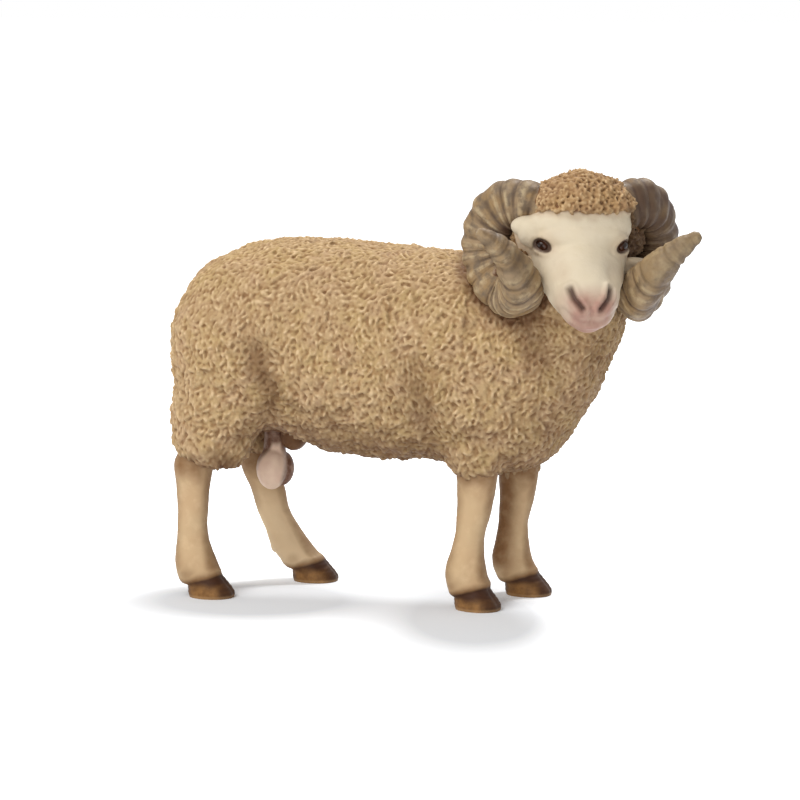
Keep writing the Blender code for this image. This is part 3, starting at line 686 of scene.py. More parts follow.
def hornTree():
    tree, given = newTree("coiledHorn", {"Float": ("Ridges", "Ridge height", "Keel", "Grain"), "Int": ("Around",)})
    geo, calc, scaled, vector, named = makersFor(tree)

    def noiseAt(place, scale, detail):
        return add(tree, "ShaderNodeTexNoise", {"Vector": place, "Scale": scale, "Detail": detail}).outputs[0]

    def keep(shape, name, value):
        return geo("StoreNamedAttribute", {"Geometry": shape, "Name": name, "Value": value},
                   data_type="FLOAT", domain="POINT")
    curve = geo("MeshToCurve", {"Mesh": given["Geometry"]})
    curve = geo("SetCurveNormal", {"Curve": curve, "Normal": named("outward", "FLOAT_VECTOR")}, mode="FREE")
    along, thick = named("along"), named("thick")
    # growth ridges stand at uneven distances and sink towards the tip
    uneven = noiseAt(geo("InputPosition"), 0.14, 1.0)
    turns = calc("MULTIPLY_ADD", uneven, 3.2, calc("MULTIPLY", along, given["Ridges"]))
    wave = calc("SINE", calc("MULTIPLY", turns, 2*math.pi))
    sharp = calc("POWER", calc("ABSOLUTE", calc("MULTIPLY_ADD", wave, 0.5, 0.5)), 0.7)
    lift = calc("MULTIPLY", sharp, given["Ridge height"])
    lift = calc("MULTIPLY", lift, calc("POWER", calc("DIVIDE", thick, 4.2), 0.8))
    curve = geo("SetCurveRadius", {"Curve": keep(curve, "ridge", sharp), "Radius": calc("ADD", thick, lift)})
    # the section is a circle drawn out to a keel on its outer edge and flattened beside it
    circle = geo("CurvePrimitiveCircle", {"Resolution": given["Around"], "Radius": 1.0}, mode="RADIUS")
    share = calc("DIVIDE", geo("InputIndex"), given["Around"])
    swell = calc("COSINE", calc("MULTIPLY_ADD", calc("MULTIPLY", share, 2*math.pi), 3.0, 2.4))
    swell = calc("ADD", calc("MULTIPLY", swell, given["Keel"]), 0.97)
    profile = geo("SetPosition", {"Geometry": circle, "Position": scaled(geo("InputPosition"), swell)})
    tube = add(tree, "GeometryNodeCurveToMesh",
               {"Curve": curve, "Profile Curve": keep(profile, "around", share), "Fill Caps": True})
    if "Scale" in tube.inputs:
        tree.links.new(geo("InputRadius"), tube.inputs["Scale"])
    # fine growth lines across the horn
    rough = noiseAt(geo("InputPosition"), 0.9, 3.0)
    lines = noiseAt(vector(calc("MULTIPLY", named("along"), 75.0), calc("MULTIPLY", named("around"), 3.0)), 1.0, 2.0)
    amount = calc("MULTIPLY", calc("MULTIPLY_ADD", calc("ADD", rough, lines), 1.0, -1.0), given["Grain"])
    moved = geo("SetPosition", {"Geometry": tube.outputs[0], "Offset": scaled(geo("InputNormal"), amount)})
    return closeTree(tree, given, geo("RealizeInstances", {"Geometry": keep(moved, "line", lines)}))


def makeHorns():
    tree, paint, matrix = hornTree(), painted("hornPaint", **hornPaint), headMatrix(nod=False)
    first, last = horn["taper"][0][0], horn["taper"][-1][0]
    meshes = {}
    for name, side in (("right_horn", -1), ("left_horn", 1)):
        mesh = evaluated(hornPath(side), lambda coil: grownBy(coil, tree, {**horn["tree"], "Material": paint}))
        facedOut(mesh)
        co, no = pointsOf(mesh), normalsOf(mesh)
        # painted shade where the coil closes on itself, high on its outer face, over the top and back of the far
        # horn and along the lower outer edge of its tusk
        axis = np.array(matrix.to_3x3() @ hornAxis(side))
        away = co - np.array(matrix @ onSide(horn["middle"], side))
        flat = away - (away @ axis)[:, None]*axis
        radial = np.linalg.norm(flat, axis=1)
        outward = np.einsum("ij,ij->i", no, flat)/np.maximum(radial, 1e-6)
        turn = first + stored(mesh, "along")*(last - first)
        dark = [ramp(6.2 - radial, 0, 2.4)*0.7, 0.35*ramp(outward, 0.55, 1.0)*ramp(co[:, 2] - 62, -4, 6)]
        if side > 0:
            dark += [0.62*ramp(no @ np.array((0.77, 0.21, -0.6)), 0.3, 0.9)*ramp(turn, 140, 190),
                     0.78*ramp(170 - turn, 0, 70)*(1 - 0.55*ramp(no[:, 2], 0.45, 0.95))]
        storeShares(mesh, dark=np.maximum.reduce(dark)*(1 + 0.5*grainOf(co, 2.4, 15)),
                    tusk=ramp(turn, 215, 265)*(1.0 if side > 0 else 0.25))
        meshes[name] = mesh
    return meshes, paint


# head
# Skull rows: forward, height of its middle, depth and width, along the face. The balls are forward,
# aside, height and their half sizes. The woolly ones are swollen into curls.
head = {
    "grain": 0.21, "rounds": 18, "curls": {"grain": 0.3, "rounds": 0, "tufts": (4.6, 1.2)},
    "neck": {"top": (-9.9, 0, 0), "end": (30.4, -0.7, 52.0), "half": 4.5,
             "rows": ((0, 1.05), (0.5, 1.0), (0.92, 0.9), (1, 0.7))},
    "sockets": ((0.2, 6.6, -0.2), (1.9, 1.7, 1.9)),
    "skull": ((-15.7, 0.56, 4.8, 6.6), (-13.8, 0.56, 10.1, 12.8), (-9.9, 0.28, 13.7, 16.1),
              (-5.8, -0.84, 14.8, 17.1), (-1.6, -2.24, 14.6, 17.1), (1.9, -3.36, 13.7, 15.4),
              (5.8, -3.92, 12.0, 12.9), (9.6, -4.2, 10.6, 11.6), (12.8, -4.2, 8.7, 10.5),
              (14.9, -4.06, 6.6, 8.7), (16.0, -4.34, 4.1, 5.2)),
    "balls": (((-2.56, 0, 3.03), (4.67, 9.18, 4.26)), ((0.4, 0, 1.9), (3.5, 7.6, 3.2)),
              ((6.7, 0, -5.4), (5.6, 6.4, 3.3)), ((-1.9, -8.4, 1.5), (2.4, 2.7, 2.9)),
              ((-2.7, -9.3, 2.1), (1.9, 3.0, 1.9)),
              ((14.1, 0, -4.6), (1.7, 2.7, 2.9)), ((12.6, 0, -7.2), (2.46, 3.03, 1.64))),
    "woolly": (((-4.88, 0.4, 5.82), (5.9, 9.1, 4.67)), ((-5.3, -8.2, -1.5), (2.8, 3.3, 4.1)),
               ((-5.3, 8.2, -1.5), (2.8, 3.3, 4.1))),
}
facePaint = {
    "tone": ((218, 204, 179), ((214, 199, 170), (4.0, 2, 0.4, 0.7, 0, 0.5)),
             ((174, 134, 118), "pink", (2.0, 2, 0.3, 0.7, 0.8, 1.1)),
             ((176, 144, 112), "wash", (1.5, 3, 0.3, 0.7, 0.7, 1.2)),
             ((116, 80, 48), "wool"), ((66, 40, 32), "dark")),
    "rough": ((0.8, 3, 0.3, 0.7, 0.46, 0.62),), "bumps": ((0.3, 0.06, 0.5),)}
# the photograph's upward direction and the way to its camera, in head space
upView, outView = np.array([-0.588, 0.0, 0.809]), np.array([0.809, 0.0, 0.588])


def neckForm():
    neck = head["neck"]
    top, end = headMatrix() @ Vector(neck["top"]), Vector(neck["end"])
    along = (end - top).normalized()
    across = along.cross(alongZ).normalized()
    return skinOver([ringOf(top.lerp(end, share), across, across.cross(along), neck["half"]*taper,
                            neck["half"]*taper) for share, taper in neck["rows"]])


def headForms():
    rings = [ringOf(Vector((forward, 0, middle)), alongY, alongZ, wide/2, deep/2, 2.3, 40)
             for forward, middle, deep, wide in eased(head["skull"], 3)]
    forms = [skinOver(rings)] + [ballOf(*ball) for ball in head["balls"]]
    forms += [grownTogether([ballOf(*ball)], head["curls"]) for ball in head["woolly"]]
    middle, half = head["sockets"]
    forms += [ballOf(onSide(middle, side), half) for side in (-1, 1)]
    for form in forms:
        form.transform(headMatrix())
    return forms + [neckForm()]


def headSkin():
    mesh = grownTogether(headForms(), head)
    toHead = np.array(headMatrix().inverted().to_3x3())
    co, no = pointsOf(mesh), normalsOf(mesh)
    local, facing = inHeadSpace(co), no @ toHead.T
    y, v, x = np.abs(local[:, 1]), local @ upView, local[:, 0]
    flat, lift = np.stack([y, v], 1), np.zeros(len(co))
    front = ramp(facing @ outView, -0.1, 0.3)

    # sockets with a low lid all round, deeper at the inner corner
    across, upward = (y - 7.2), (v + 0.1)
    lean = math.radians(38)
    eyeA = across*math.cos(lean) + upward*math.sin(lean)
    eyeB = -across*math.sin(lean) + upward*math.cos(lean)
    almond = np.sqrt((eyeA/1.35)**2 + (eyeB/0.86)**2)
    ahead = ramp(x, -3.0, -1.5)*ramp(5 - x, 0, 1)
    lift += ahead*(0.18*hump(almond - 1.55, 0.4) - 0.5*ramp(1.25 - almond, 0, 0.6))
    lift -= 0.22*hump(np.hypot(across + 2.0, upward + 1.2), 1.6)*ahead      # tear hollow
    lift += 0.22*hump(np.hypot(across*0.7, upward - 2.2), 1.5)*ahead        # brow
    # nose bridge with a flat plane each side, and a cheek below the eye
    lift += 0.35*hump(y, 2.4)*ramp(x, 1, 5)*ramp(14.5 - x, 0, 3)*front
    lift -= 0.4*hump(np.hypot(y - 4.4, (v + 5.2)*0.5), 1.5)*front
    lift += 0.35*hump(np.hypot(y - 6.2, v + 6.0), 1.7)*ramp(facing[:, 0], -0.2, 0.2)
    # nostrils in a V with raised wings, the split lip and the mouth
    nostril, _ = nearLine(flat, ((3.6, -7.6), (3.05, -9.5), (1.75, -11.3)))
    slit = ramp(x, 10, 12.5)
    lift += slit*(0.32*hump(nostril - 1.0, 0.5) - 0.75*hump(nostril, 0.46))
    middle, _ = nearLine(flat, ((0.0, -11.8), (0.0, -13.6)))
    lift -= 0.16*hump(middle, 0.35)*slit
    mouth, _ = nearLine(flat, ((0.0, -13.5), (1.6, -13.7), (3.0, -13.2), (4.2, -12.2), (5.0, -11.2)))
    lift -= 0.16*hump(mouth, 0.4)*ramp(x, 6, 10)
    lift += 0.08*hump(mouth - 0.8, 0.5)*slit
    lift += 0.05*grainOf(local, 1.6, 5, 3)

    # wool starts above the brow and behind the cheeks
    nod = math.radians(headPlace["nod"])
    back = x*math.cos(nod) + local[:, 2]*math.sin(nod)
    crown = v - 5.1 - 0.6*grainOf(local, 1.3, 6) - 0.011*y**2
    behind = -back - 4.2 + 0.5*grainOf(local, 1.5, 7) - 1.2*ramp(v, 0, 4)
    temple = local[:, 1] - 8.4 + 0.4*grainOf(local, 1.5, 14)      # the far temple alone is woolly
    wool = np.maximum.reduce([ramp(crown, -0.2, 0.6), ramp(behind, -0.3, 0.6),
                              ramp(temple, -0.3, 0.5)*ramp(-x, 0.5, 2)])
    # the muzzle narrows towards the chin
    squeeze = -0.15*local[:, 1]*ramp(-v, 8.5, 13.5)*ramp(x, 8, 11)
    sideways = np.array(headMatrix().to_3x3() @ alongY)
    movePoints(mesh, co + no*(lift*(1 - wool) - 0.25*wool)[:, None] + squeeze[:, None]*sideways)

    # painted shade round the eyes, on the flat beside the nose, towards the back of the head and under the edge of
    # the fringe
    storeShares(
        mesh, wool=wool, pink=ramp(-v, 6.4, 10.6)*ramp(x, 8, 12)*(1 - 0.6*ramp(y, 3.0, 5.2)),
        dark=np.maximum.reduce([0.9*ramp(1.38 - almond, 0, 0.3)*ahead, slit*0.92*hump(nostril, 0.58),
                                0.1*hump(middle, 0.35)*slit, 0.13*hump(mouth, 0.38)*ramp(x, 6, 10)]),
        wash=np.maximum.reduce([0.55*hump(np.hypot(across + 0.2, upward + 0.1), 2.0)*ahead,
                                0.22*hump(np.hypot(y - 4.6, (v + 5.0)*0.5), 1.5),
                                0.6*ramp(-back, 0.0, 4.0), 0.55*ramp(crown, -1.5, 0.2)]))
    # curls lean every way, and outwards from the crown on the whole
    outwards = (local - np.array([-3.0, 0, 8.0])) @ np.linalg.inv(toHead).T
    outwards = outwards/np.maximum(np.linalg.norm(outwards, axis=1), 1e-6)[:, None]
    storeFlow(mesh, no, outwards, grainOf(local, 1.6, 8)*3.4)
    store(mesh, "size", 1.0 + 0.2*grainOf(local, 1.6, 9))
    return mesh


# Half sizes of the domes, how deep they are sunk, how far each lies from the middle, where the search for its
# socket starts, how it leans outwards and which way its upper lid lies
eyes = {"half": (1.22, 0.84, 0.7), "sunk": 0.18, "apart": 7.2, "from": 20, "lean": (0.5, 0.6, 0.3),
        "lid": (-0.588, -0.72, 0.809)}
eyePaint = {"tone": ((34, 16, 8), ((66, 36, 20), ("rim", 0.45, 0.85))), "rough": ((0.4, 2, 0.3, 0.7, 0.2, 0.28),),
            "specular": 0.18, "gloss": 0.15}


def makeEyes(skin):
    # each eye is a low almond dome set into its socket, square to the head's own surface there
    tree, matrix, turn = treeOf(skin), headMatrix(), headMatrix().to_3x3()
    view, meshes = Vector(outView), {}
    for name, side in (("right_eye", -1), ("left_eye", 1)):
        aim = alongY*(side*eyes["apart"]) + view*eyes["from"]
        hit, normal, *_ = tree.ray_cast(matrix @ aim, turn @ -view)
        normal = (normal + turn @ onSide(eyes["lean"], side)).normalized()
        across = (turn @ onSide(eyes["lid"], side)).cross(normal).normalized()
        mesh = ballOf((0, 0, 0), eyes["half"])
        co = pointsOf(mesh)
        store(mesh, "rim", np.hypot(co[:, 0]/eyes["half"][0], co[:, 1]/eyes["half"][1]))
        mesh.transform(Matrix.Translation(hit - normal*eyes["sunk"])
                       @ Matrix((across, normal.cross(across), normal)).transposed().to_4x4())
        meshes[name] = mesh
    return meshes


# fleece
# Locks of wool are laid over the skin on curved lines, then melted into it. Sizes in millimetres. Clear is how
# far locks stay from other pieces, from the middle of the groin and out of the corner above the near horn.
locks = {
    "root": -0.8, "widths": (0.42, 0.84, 1.0, 0.88, 0.4), "heights": (0.3, 0.8, 1.0, 0.94, 0.52),
    "section": ((-1.0, -1.0), (-0.62, 0.8), (0.0, 1.0), (0.62, 0.8), (1.0, -1.0)),
    "shapes": ((0.25, 0.05), (-0.28, -0.08), (0.15, -0.18), (-0.38, -0.12), (0.42, 0.15), (-0.08, 0.12)),
    "body": {"Spacing": 0.74, "Size": (1.8, 0.95, 0.62), "Tilt": 0.34, "Twist": 0.8, "Seed": 11,
             "Keep skin": True, "grain": 0.2, "rounds": 1, "floor": -0.13},
    "poll": {"Spacing": 0.44, "Size": (0.82, 0.74, 0.85), "Tilt": 0.55, "Twist": 3.1, "Seed": 5,
             "Keep skin": False, "grain": 0.17, "rounds": 1, "floor": -0.5},
    "cuts": (-28.0, -15.0, -2.0, 11.0, 22.0, 31.0),
    "clear": {"fleece": 0.35, "poll": 0.2, "skin": 0.0, "legs": -0.5, "groin": 3.9, "corner": (-7.5, 8.8)},
}
locks["tail"] = {**locks["body"], "Seed": 3}
# In each palette the wash colour is laid down as painted shade and brown wash alike
bodyPalette = {"main": (184, 154, 115), "yellow": (184, 155, 109), "pinkish": (184, 152, 120),
               "pale": (218, 189, 148), "brown": (154, 119, 80), "crevice": (112, 78, 48), "wash": (94, 60, 36)}
pollPalette = {"main": (166, 131, 94), "yellow": (174, 138, 94), "pinkish": (158, 124, 90),
               "pale": (208, 177, 134), "brown": (136, 101, 66), "crevice": (84, 56, 34), "wash": (62, 42, 28)}


def lockMesh(bend, hook):
    points, last = [], len(locks["widths"]) - 1
    for k, (wide, tall) in enumerate(zip(locks["widths"], locks["heights"])):
        t = k/last - 0.5
        heading = math.atan2(bend*t*4.4 + hook*t**2*21, 1)
        for a, b in locks["section"]:
            half = a*wide/2
            points.append((t - half*math.sin(heading), bend*t**2*2.2 + hook*t**3*7 + half*math.cos(heading),
                           b*tall if b > 0 else locks["root"]))
    faces = [(k*5 + i, (k + 1)*5 + i, (k + 1)*5 + (i + 1) % 5, k*5 + (i + 1) % 5)
             for k in range(last) for i in range(5)]
    faces += [tuple(range(5)), tuple(last*5 + i for i in range(4, -1, -1))]
    mesh = bpy.data.meshes.new("lock")
    mesh.from_pydata(points, [], faces)
    return facedOut(mesh)


def lockCollection():
    group = bpy.data.collections.new("locks")
    for k, shape in enumerate(locks["shapes"]):
        group.objects.link(bpy.data.objects.new(f"lock{k}", lockMesh(*shape)))
    return group


def fleeceTree():
    tree, given = newTree("fleeceLocks", {"Float": ("Spacing", "Tilt", "Twist"), "Vector": ("Size",),
                                          "Int": ("Seed",), "Bool": ("Keep skin",)})
    geo, calc, scaled, vector, named = makersFor(tree)

    def chance(low, high, seed):
        return add(tree, "FunctionNodeRandomValue", {"Seed": seed, 2: low, 3: high}, data_type="FLOAT").outputs[1]
    scatter = add(tree, "GeometryNodeDistributePointsOnFaces",
                  {"Mesh": given["Geometry"], "Distance Min": given["Spacing"], "Density Max": 14.0,
                   "Density Factor": named("grow"), "Seed": given["Seed"]}, distribute_method="POISSON").outputs
    lying = add(tree, "FunctionNodeAlignRotationToVector",
                {"Rotation": scatter["Rotation"], "Vector": named("flow", "FLOAT_VECTOR")},
                axis="X", pivot_axis="Z").outputs[0]
    twist = calc("MULTIPLY", chance(-1.0, 1.0, 7), given["Twist"])
    tilt = calc("MULTIPLY", chance(-1.8, 0.4, 8), given["Tilt"])
    extra = add(tree, "FunctionNodeEulerToRotation", {0: vector(0.0, tilt, twist)}).outputs[0]
    turned = add(tree, "FunctionNodeRotateRotation", {0: lying, 1: extra}, rotation_space="LOCAL").outputs[0]
    stretch = vector(chance(0.55, 1.25, 9), chance(0.7, 1.3, 10), chance(0.5, 1.2, 11))
    stretch = add(tree, "ShaderNodeVectorMath", {0: stretch, 1: given["Size"]}, operation="MULTIPLY").outputs[0]
    shapes = geo("CollectionInfo", {"Collection": lockCollection(), "Separate Children": True,
                                    "Reset Children": True})
    laid = geo("InstanceOnPoints", {
        "Points": scatter["Points"], "Instance": shapes, "Pick Instance": True, "Rotation": turned,
        "Instance Index": calc("FLOOR", chance(0.0, 5.999, 12)), "Scale": scaled(stretch, named("size"))})
    skin = geo("Switch", {"Switch": given["Keep skin"], "True": given["Geometry"]}, input_type="GEOMETRY")
    whole = add(tree, "GeometryNodeJoinGeometry")
    tree.links.new(geo("RealizeInstances", {"Geometry": laid}), whole.inputs[0])
    tree.links.new(skin, whole.inputs[0])
    return closeTree(tree, given, whole.outputs[0])


def withoutGrowth(mesh):
    for name in ("flow", "size", "grow"):
        if name in mesh.attributes:
            mesh.attributes.remove(mesh.attributes[name])
    return mesh


def growLocks(skin, tree, material, values):
    # the locks and the skin become one sculpted surface, as they are in a moulded toy
    def grow(helper):
        grownBy(helper, tree, {**values, "Material": material})
        fused(helper, values["grain"], values["rounds"])
    mesh = withoutGrowth(evaluated(skin.copy(), grow))
    # pits between the locks are filled up to a floor, and the wool is bunched a little
    rise, level = reliefOf(mesh, 14)
    co = pointsOf(mesh)
    filled = np.maximum(values["floor"] - rise, 0)*0.85
    movePoints(mesh, co + level*(filled + 0.14*grainOf(co, 1.7, 17) + 0.04*grainOf(co, 0.7, 19))[:, None])
    storeShares(mesh, crest=0.5 + (rise + filled)/0.34)
    return mesh, level


def slabsOf(mesh, cuts):
    # a closed mesh cut across by upright planes into closed slabs
    rest, slabs = opened(mesh), []
    for at in (*cuts, None):
        slab = rest.copy() if at is not None else rest
        for bm, outer in ((slab, True), (rest, False)) if at is not None else ():
            rim, caps = cutFlat(bm, (at, 0, 0), (1, 0, 0), outer)
            bmesh.ops.triangulate(bm, faces=caps)
            for edge in rim:
                edge.smooth = False
        bmesh.ops.recalc_face_normals(slab, faces=slab.faces)
        slabs.append(written(slab))
    return slabs


def woolPaint(name, main, yellow, pinkish, pale, brown, crevice, wash):
    tone = (main, (yellow, (6.0, 2, 0.38, 0.62)), (pinkish, (5.0, 2, 0.5, 0.66, 0, 0.6, (0.3, 0.1, 0.2))),
            (brown, (1.5, 2, 0.46, 0.68, 0, 0.75, (0.1, 0.4, 0.3))),
            (pale, ("crest", 0.5, 0.92), (1.1, 2, 0.4, 0.64, 0.15, 0.95)),
            (crevice, ("crest", 0.44, 0.06, 0, 0.62)), (wash, "wash", ("crest", 0.2, 0.9, 1.0, 0.92)))
    return painted(name, tone, ((0.9, 3, 0.3, 0.7, 0.58, 0.78),), ((0.32, 0.1, 0.6),), 0.2)


def clearOf(points, meshes, gap):
    # 0 where a point lies closer to one of the meshes than the gap, or deeper in it than a gap below 0
    keep = np.ones(len(points))
    for mesh in meshes:
        tree, own = treeOf(mesh), pointsOf(mesh)
        low, high = own.min(0) - abs(gap), own.max(0) + abs(gap)
        for k in np.where(np.all((points > low) & (points < high), axis=1))[0]:
            hit, normal, _, distance = tree.find_nearest(Vector(points[k]))
            if math.copysign(distance, (Vector(points[k]) - hit).dot(normal)) < gap:
                keep[k] = 0
    return keep


# legs and hooves
def shankForms(name):
    rings = []
    for height, forward, deep, wide in eased(legs[name]["line"]):
        centre = footOf(name) + Vector((forward*legs["fleeceEdge"], 0, height*legs["fleeceEdge"]))
        rings.append(ringOf(centre, alongX, alongY, deep*legs["cannonDepth"]/2,
                            wide*legs["cannonWidth"]/2, 2.2))
    height, forward, deep, wide = legs[name]["line"][6]
    rear = footOf(name) + Vector((forward*legs["fleeceEdge"] - legs["clawBack"]*deep*legs["cannonDepth"], 0,
                                  height*legs["fleeceEdge"]))
    middle, half = legs["claw"]
    return [skinOver(rings)] + [ballOf(rear + onSide(middle, side), half) for side in (-1, 1)]


# height, forward, half depth and half width of the hoof, shares of its sizes
hoofRows = ((-0.4, 0.0, 0.43, 0.44), (0.0, 0.0, 0.475, 0.485), (0.14, 0.0, 0.5, 0.5),
            (0.34, -0.03, 0.475, 0.49), (0.62, -0.09, 0.41, 0.45), (0.92, -0.15, 0.33, 0.38),
            (1.12, -0.19, 0.24, 0.28))


def hoofForm(name):
    length, width, height = legs["hoofLength"], legs["hoofWidth"], legs["hoofHeight"]
    turn = Matrix.Rotation(math.radians(legs[name]["toe"]), 3, "Z")
    return skinOver([ringOf(footOf(name) + turn @ Vector((forward*length, 0, tall*height)), turn @ alongX,
                            turn @ alongY, deep*length, wide*width, 2.15, 40)
                     for tall, forward, deep, wide in eased(hoofRows, 3)])


def legSkin(name):
    mesh, leg = grownTogether(shankForms(name) + [hoofForm(name)], legs), legs[name]
    bm = opened(mesh)
    cutFlat(bm, (0, 0, 0), (0, 0, 1), False)
    bmesh.ops.triangulate(bm, faces=[f for f in bm.faces if len(f.verts) > 4])
    bmesh.ops.recalc_face_normals(bm, faces=bm.faces)
    written(bm, mesh)
    co, no = pointsOf(mesh), normalsOf(mesh)
    foot = np.array(footOf(name))
    x, y, z = (co - foot).T
    fore = x - (np.array([legMiddle(name, h)[0] for h in z]) - foot[0])
    toe = math.radians(leg["toe"])
    ahead, aside = x*math.cos(toe) + y*math.sin(toe), y*math.cos(toe) - x*math.sin(toe)

    # the coronet rises from the heel to the front of the hoof
    coronet = 3.75 + 0.3*np.clip(ahead, -4, 3.2) + 0.12*grainOf(co, 1.5, 22)
    hoof = ramp(coronet - z, -0.45, 0.35)
    lift = 0.16*hump(z - coronet - 0.5, 0.6)*(z > 1)
    lift -= 0.16*hump(aside, 0.6)*ramp(ahead, 0.6, 2.6)*ramp(coronet + 0.4 - z, 0, 1.2)     # cleft in front
    lift -= 0.24*hump(aside, 0.6)*ramp(-ahead, 2.2, 3.4)*ramp(3.4 - z, 0, 1)                # and at the heel
    # fetlock, tendon groove down each side and a flat knee
    bony = ramp(z, 6.5, 9)*ramp(23 - z, 0, 4)
    lift += 0.35*hump(np.hypot(fore + 2.2, (z - 6.2)*0.8), 2.0)
    lift -= 0.2*bony*hump(fore + 0.9, 0.9)
    lift += 0.25*hump(z - 16.5, 2.4)*ramp(fore, 0, 2)*(1 - hoof)
    lift += 0.07*grainOf(co, 2.2, 21, 3)*(1 - hoof)
    lift += 0.03*np.sin(z*8 + 0.8*np.sin(x*1.3))*hoof*ramp(z, 0.3, 0.8)
    pushOut(mesh, lift*ramp(z, 0.05, 0.5))

    edge, soft = legs["fleeceEdge"]*(1 - leg["drop"]*2.5), grainOf(co, 2.5, 23)
    amount, behind, full, above = leg["rear"]
    # painted shade under the fleece, behind and in front of the leg and on its inner side, with darker brown above
    # the coronet, down the front of the pastern and at the heel
    wash = [0.85*ramp(z + 1.2*soft, edge - 4.5, edge + 1.0),
            amount*ramp(-fore/2.9, behind, full)*ramp(z, above, above + 4),
            0.7*ramp(fore/2.9, 0.6, 1.1)*ramp(z, 3, 6), 0.8*hump(z - coronet - 0.1, 0.9),
            0.95*ramp(ahead, 1.1, 2.6)*ramp(7.8 - z, 0, 2.6), 0.45*hump(np.hypot(ahead + 3.6, z - 4.2), 1.5),
            0.12*ramp(-np.sign(foot[1])*no[:, 1], 0.2, 0.9)]
    dark = [ramp(z + 0.5*soft, leg["darkFrom"], leg["darkFrom"] + 1.5), 0.9*ramp(ahead + 0.3*z, 1.9, 3.6),
            0.9*hump(aside, 0.6)*ramp(ahead, 1, 3), 0.6*ramp(-ahead, 2.6, 4.0)]
    # pale is painted light that lifts the lower far hind leg out of the body's shade
    storeShares(mesh, wash=np.maximum.reduce(wash), dark=np.maximum.reduce(dark)*hoof, hoof=hoof,
                pale=leg["pale"]*ramp(20 - z, 0, 8), sole=ramp(0.7 - z, 0, 0.4)*hoof)
    return mesh


hoofTone = ((144, 104, 60), ((116, 81, 46), (1.3, 3, 0.35, 0.65)), ((56, 30, 17), ("dark", 0, 1, 0, 0.95)),
            ((186, 150, 108), ("sole", 0, 1, 0, 0.4)))
legPaint = {
    "tone": ((205, 176, 137), ((198, 166, 128), (5.0, 2, 0.35, 0.65)),
             ((224, 196, 156), (2.6, 3, 0.5, 0.75, 0, 0.5, (2, 0, 1))), ((232, 205, 166), "pale"),
             ((124, 88, 54), "wash", (1.8, 2, 0.3, 0.7, 0.82, 1.12)), (hoofTone, "hoof")),
    "rough": ((0.8, 3, 0.3, 0.7, 0.5, 0.66), ("hoof", 0, 1, 1.0, 0.92)), "bumps": ((0.28, 0.07, 0.5),),
    "specular": 0.18}


# ears, tail and scrotum
# Ear rows are place along it, width and thickness. Tail rows are down, back, width and thickness. All are shares.
ears = {"length": 9.0, "width": 4.0, "thickness": 1.6, "wash": {-1: 0.92, 1: 0.1}, "grain": 0.16, "rounds": 3,
        "root": (-3.5, 7.2, -3.4), "along": (0.36, 0.8, -0.16),
        "leaf": ((-0.28, 0.4, 0.9), (0.0, 0.55, 1.0), (0.25, 0.9, 1.0), (0.5, 1.0, 0.95), (0.75, 0.78, 0.8),
                 (0.93, 0.4, 0.6), (1.0, 0.15, 0.4))}
earPaint = {"tone": ((220, 202, 175), ((206, 164, 144), "pink"),
                     ((112, 78, 52), "wash", (1.2, 3, 0.3, 0.7, 0.7, 1.2))),
            "rough": ((0.8, 3, 0.3, 0.7, 0.5, 0.66),), "bumps": ((0.3, 0.07, 0.5),)}
tail = {"length": 19.0, "width": 7.8, "thickness": 5.6, "inset": 0.6, "root": (-0.488, 0.83), "grain": 0.4,
        "rounds": 4,
        "lie": ((-0.1, -0.55, 0.45, 0.4), (0.0, -0.4, 0.7, 0.7), (0.15, -0.16, 0.92, 0.9),
                (0.4, 0.0, 1.0, 1.0), (0.7, 0.02, 0.94, 0.95), (0.92, 0.0, 0.66, 0.75), (1.0, -0.02, 0.35, 0.45))}


def earSkin(side):
    root, along = onSide(ears["root"], side), onSide(ears["along"], side).normalized()
    flat = along.cross(alongZ).normalized()
    upward = flat.cross(along)
    rings = [ringOf(root + along*(share*ears["length"]), upward, flat, wide*ears["width"]/2,
                    thick*ears["thickness"]/2, 2.0, 24)
             for share, wide, thick in eased(ears["leaf"])]
    mesh = grownTogether([skinOver(rings)], ears)
    away = pointsOf(mesh) - np.array(root)
    out, up = away @ np.array(along)/ears["length"], away @ np.array(upward)
    hollow = hump(up, 0.85)*ramp(out, 0.05, 0.3)*ramp(0.98 - out, 0, 0.15)
    pushOut(mesh, -0.35*hollow)
    # painted shade in the hollow of each ear, and over the outer end of the near ear, in the shade of the horn round
    # it
    storeShares(mesh, wash=np.maximum(0.35*hollow, ears["wash"][side]*ramp(out, 0.2, 0.55)),
                pink=0.4*hollow*ramp(out, 0.2, 0.5))
    mesh.transform(headMatrix(nod=False))
    return mesh


def tailSkin():
    back, high = tail["root"]
    root = Vector((back*torso["length"], 0, high*torso["height"]))
    rings = [ringOf(root + Vector((-back*tail["thickness"], 0, -down*tail["length"])), alongX, alongY,
                    (thick*tail["thickness"] - tail["inset"])/2, (wide*tail["width"] - tail["inset"])/2, 2.2)
             for down, back, wide, thick in eased(tail["lie"])]
    mesh = grownTogether([skinOver(rings)], tail)
    co, no = pointsOf(mesh), normalsOf(mesh)
    pushOut(mesh, 0.25*grainOf(co, 3.0, 31))
    storeFlow(mesh, no, np.array([-0.12, 0, -1.0]), grainOf(co, 4.0, 32)*1.2)
    store(mesh, "size", 0.95 + 0.1*grainOf(co, 3.0, 33))
    return mesh


# Neck rows are height and half width, the lobes are their middles and half sizes.
bag = {"middle": (-21.2, 1.93), "grain": 0.22, "rounds": 12,
       "neck": ((32.3, 1.75), (29.8, 1.82), (27.4, 1.96), (25.0, 2.17), (23.2, 2.1)),
       "lobes": (((-21.48, 0.74, 22.4), (2.8, 2.8, 3.9)), ((-20.6, 3.5, 22.15), (2.62, 2.62, 3.4)))}
bagPaint = {"tone": ((228, 200, 176), ((218, 186, 164), (2.5, 2, 0.35, 0.65)),
                     ((104, 68, 48), "wash", (1.4, 3, 0.3, 0.7, 0.75, 1.15))),
            "rough": ((0.8, 3, 0.3, 0.7, 0.5, 0.64),), "bumps": ((0.3, 0.06, 0.5),)}


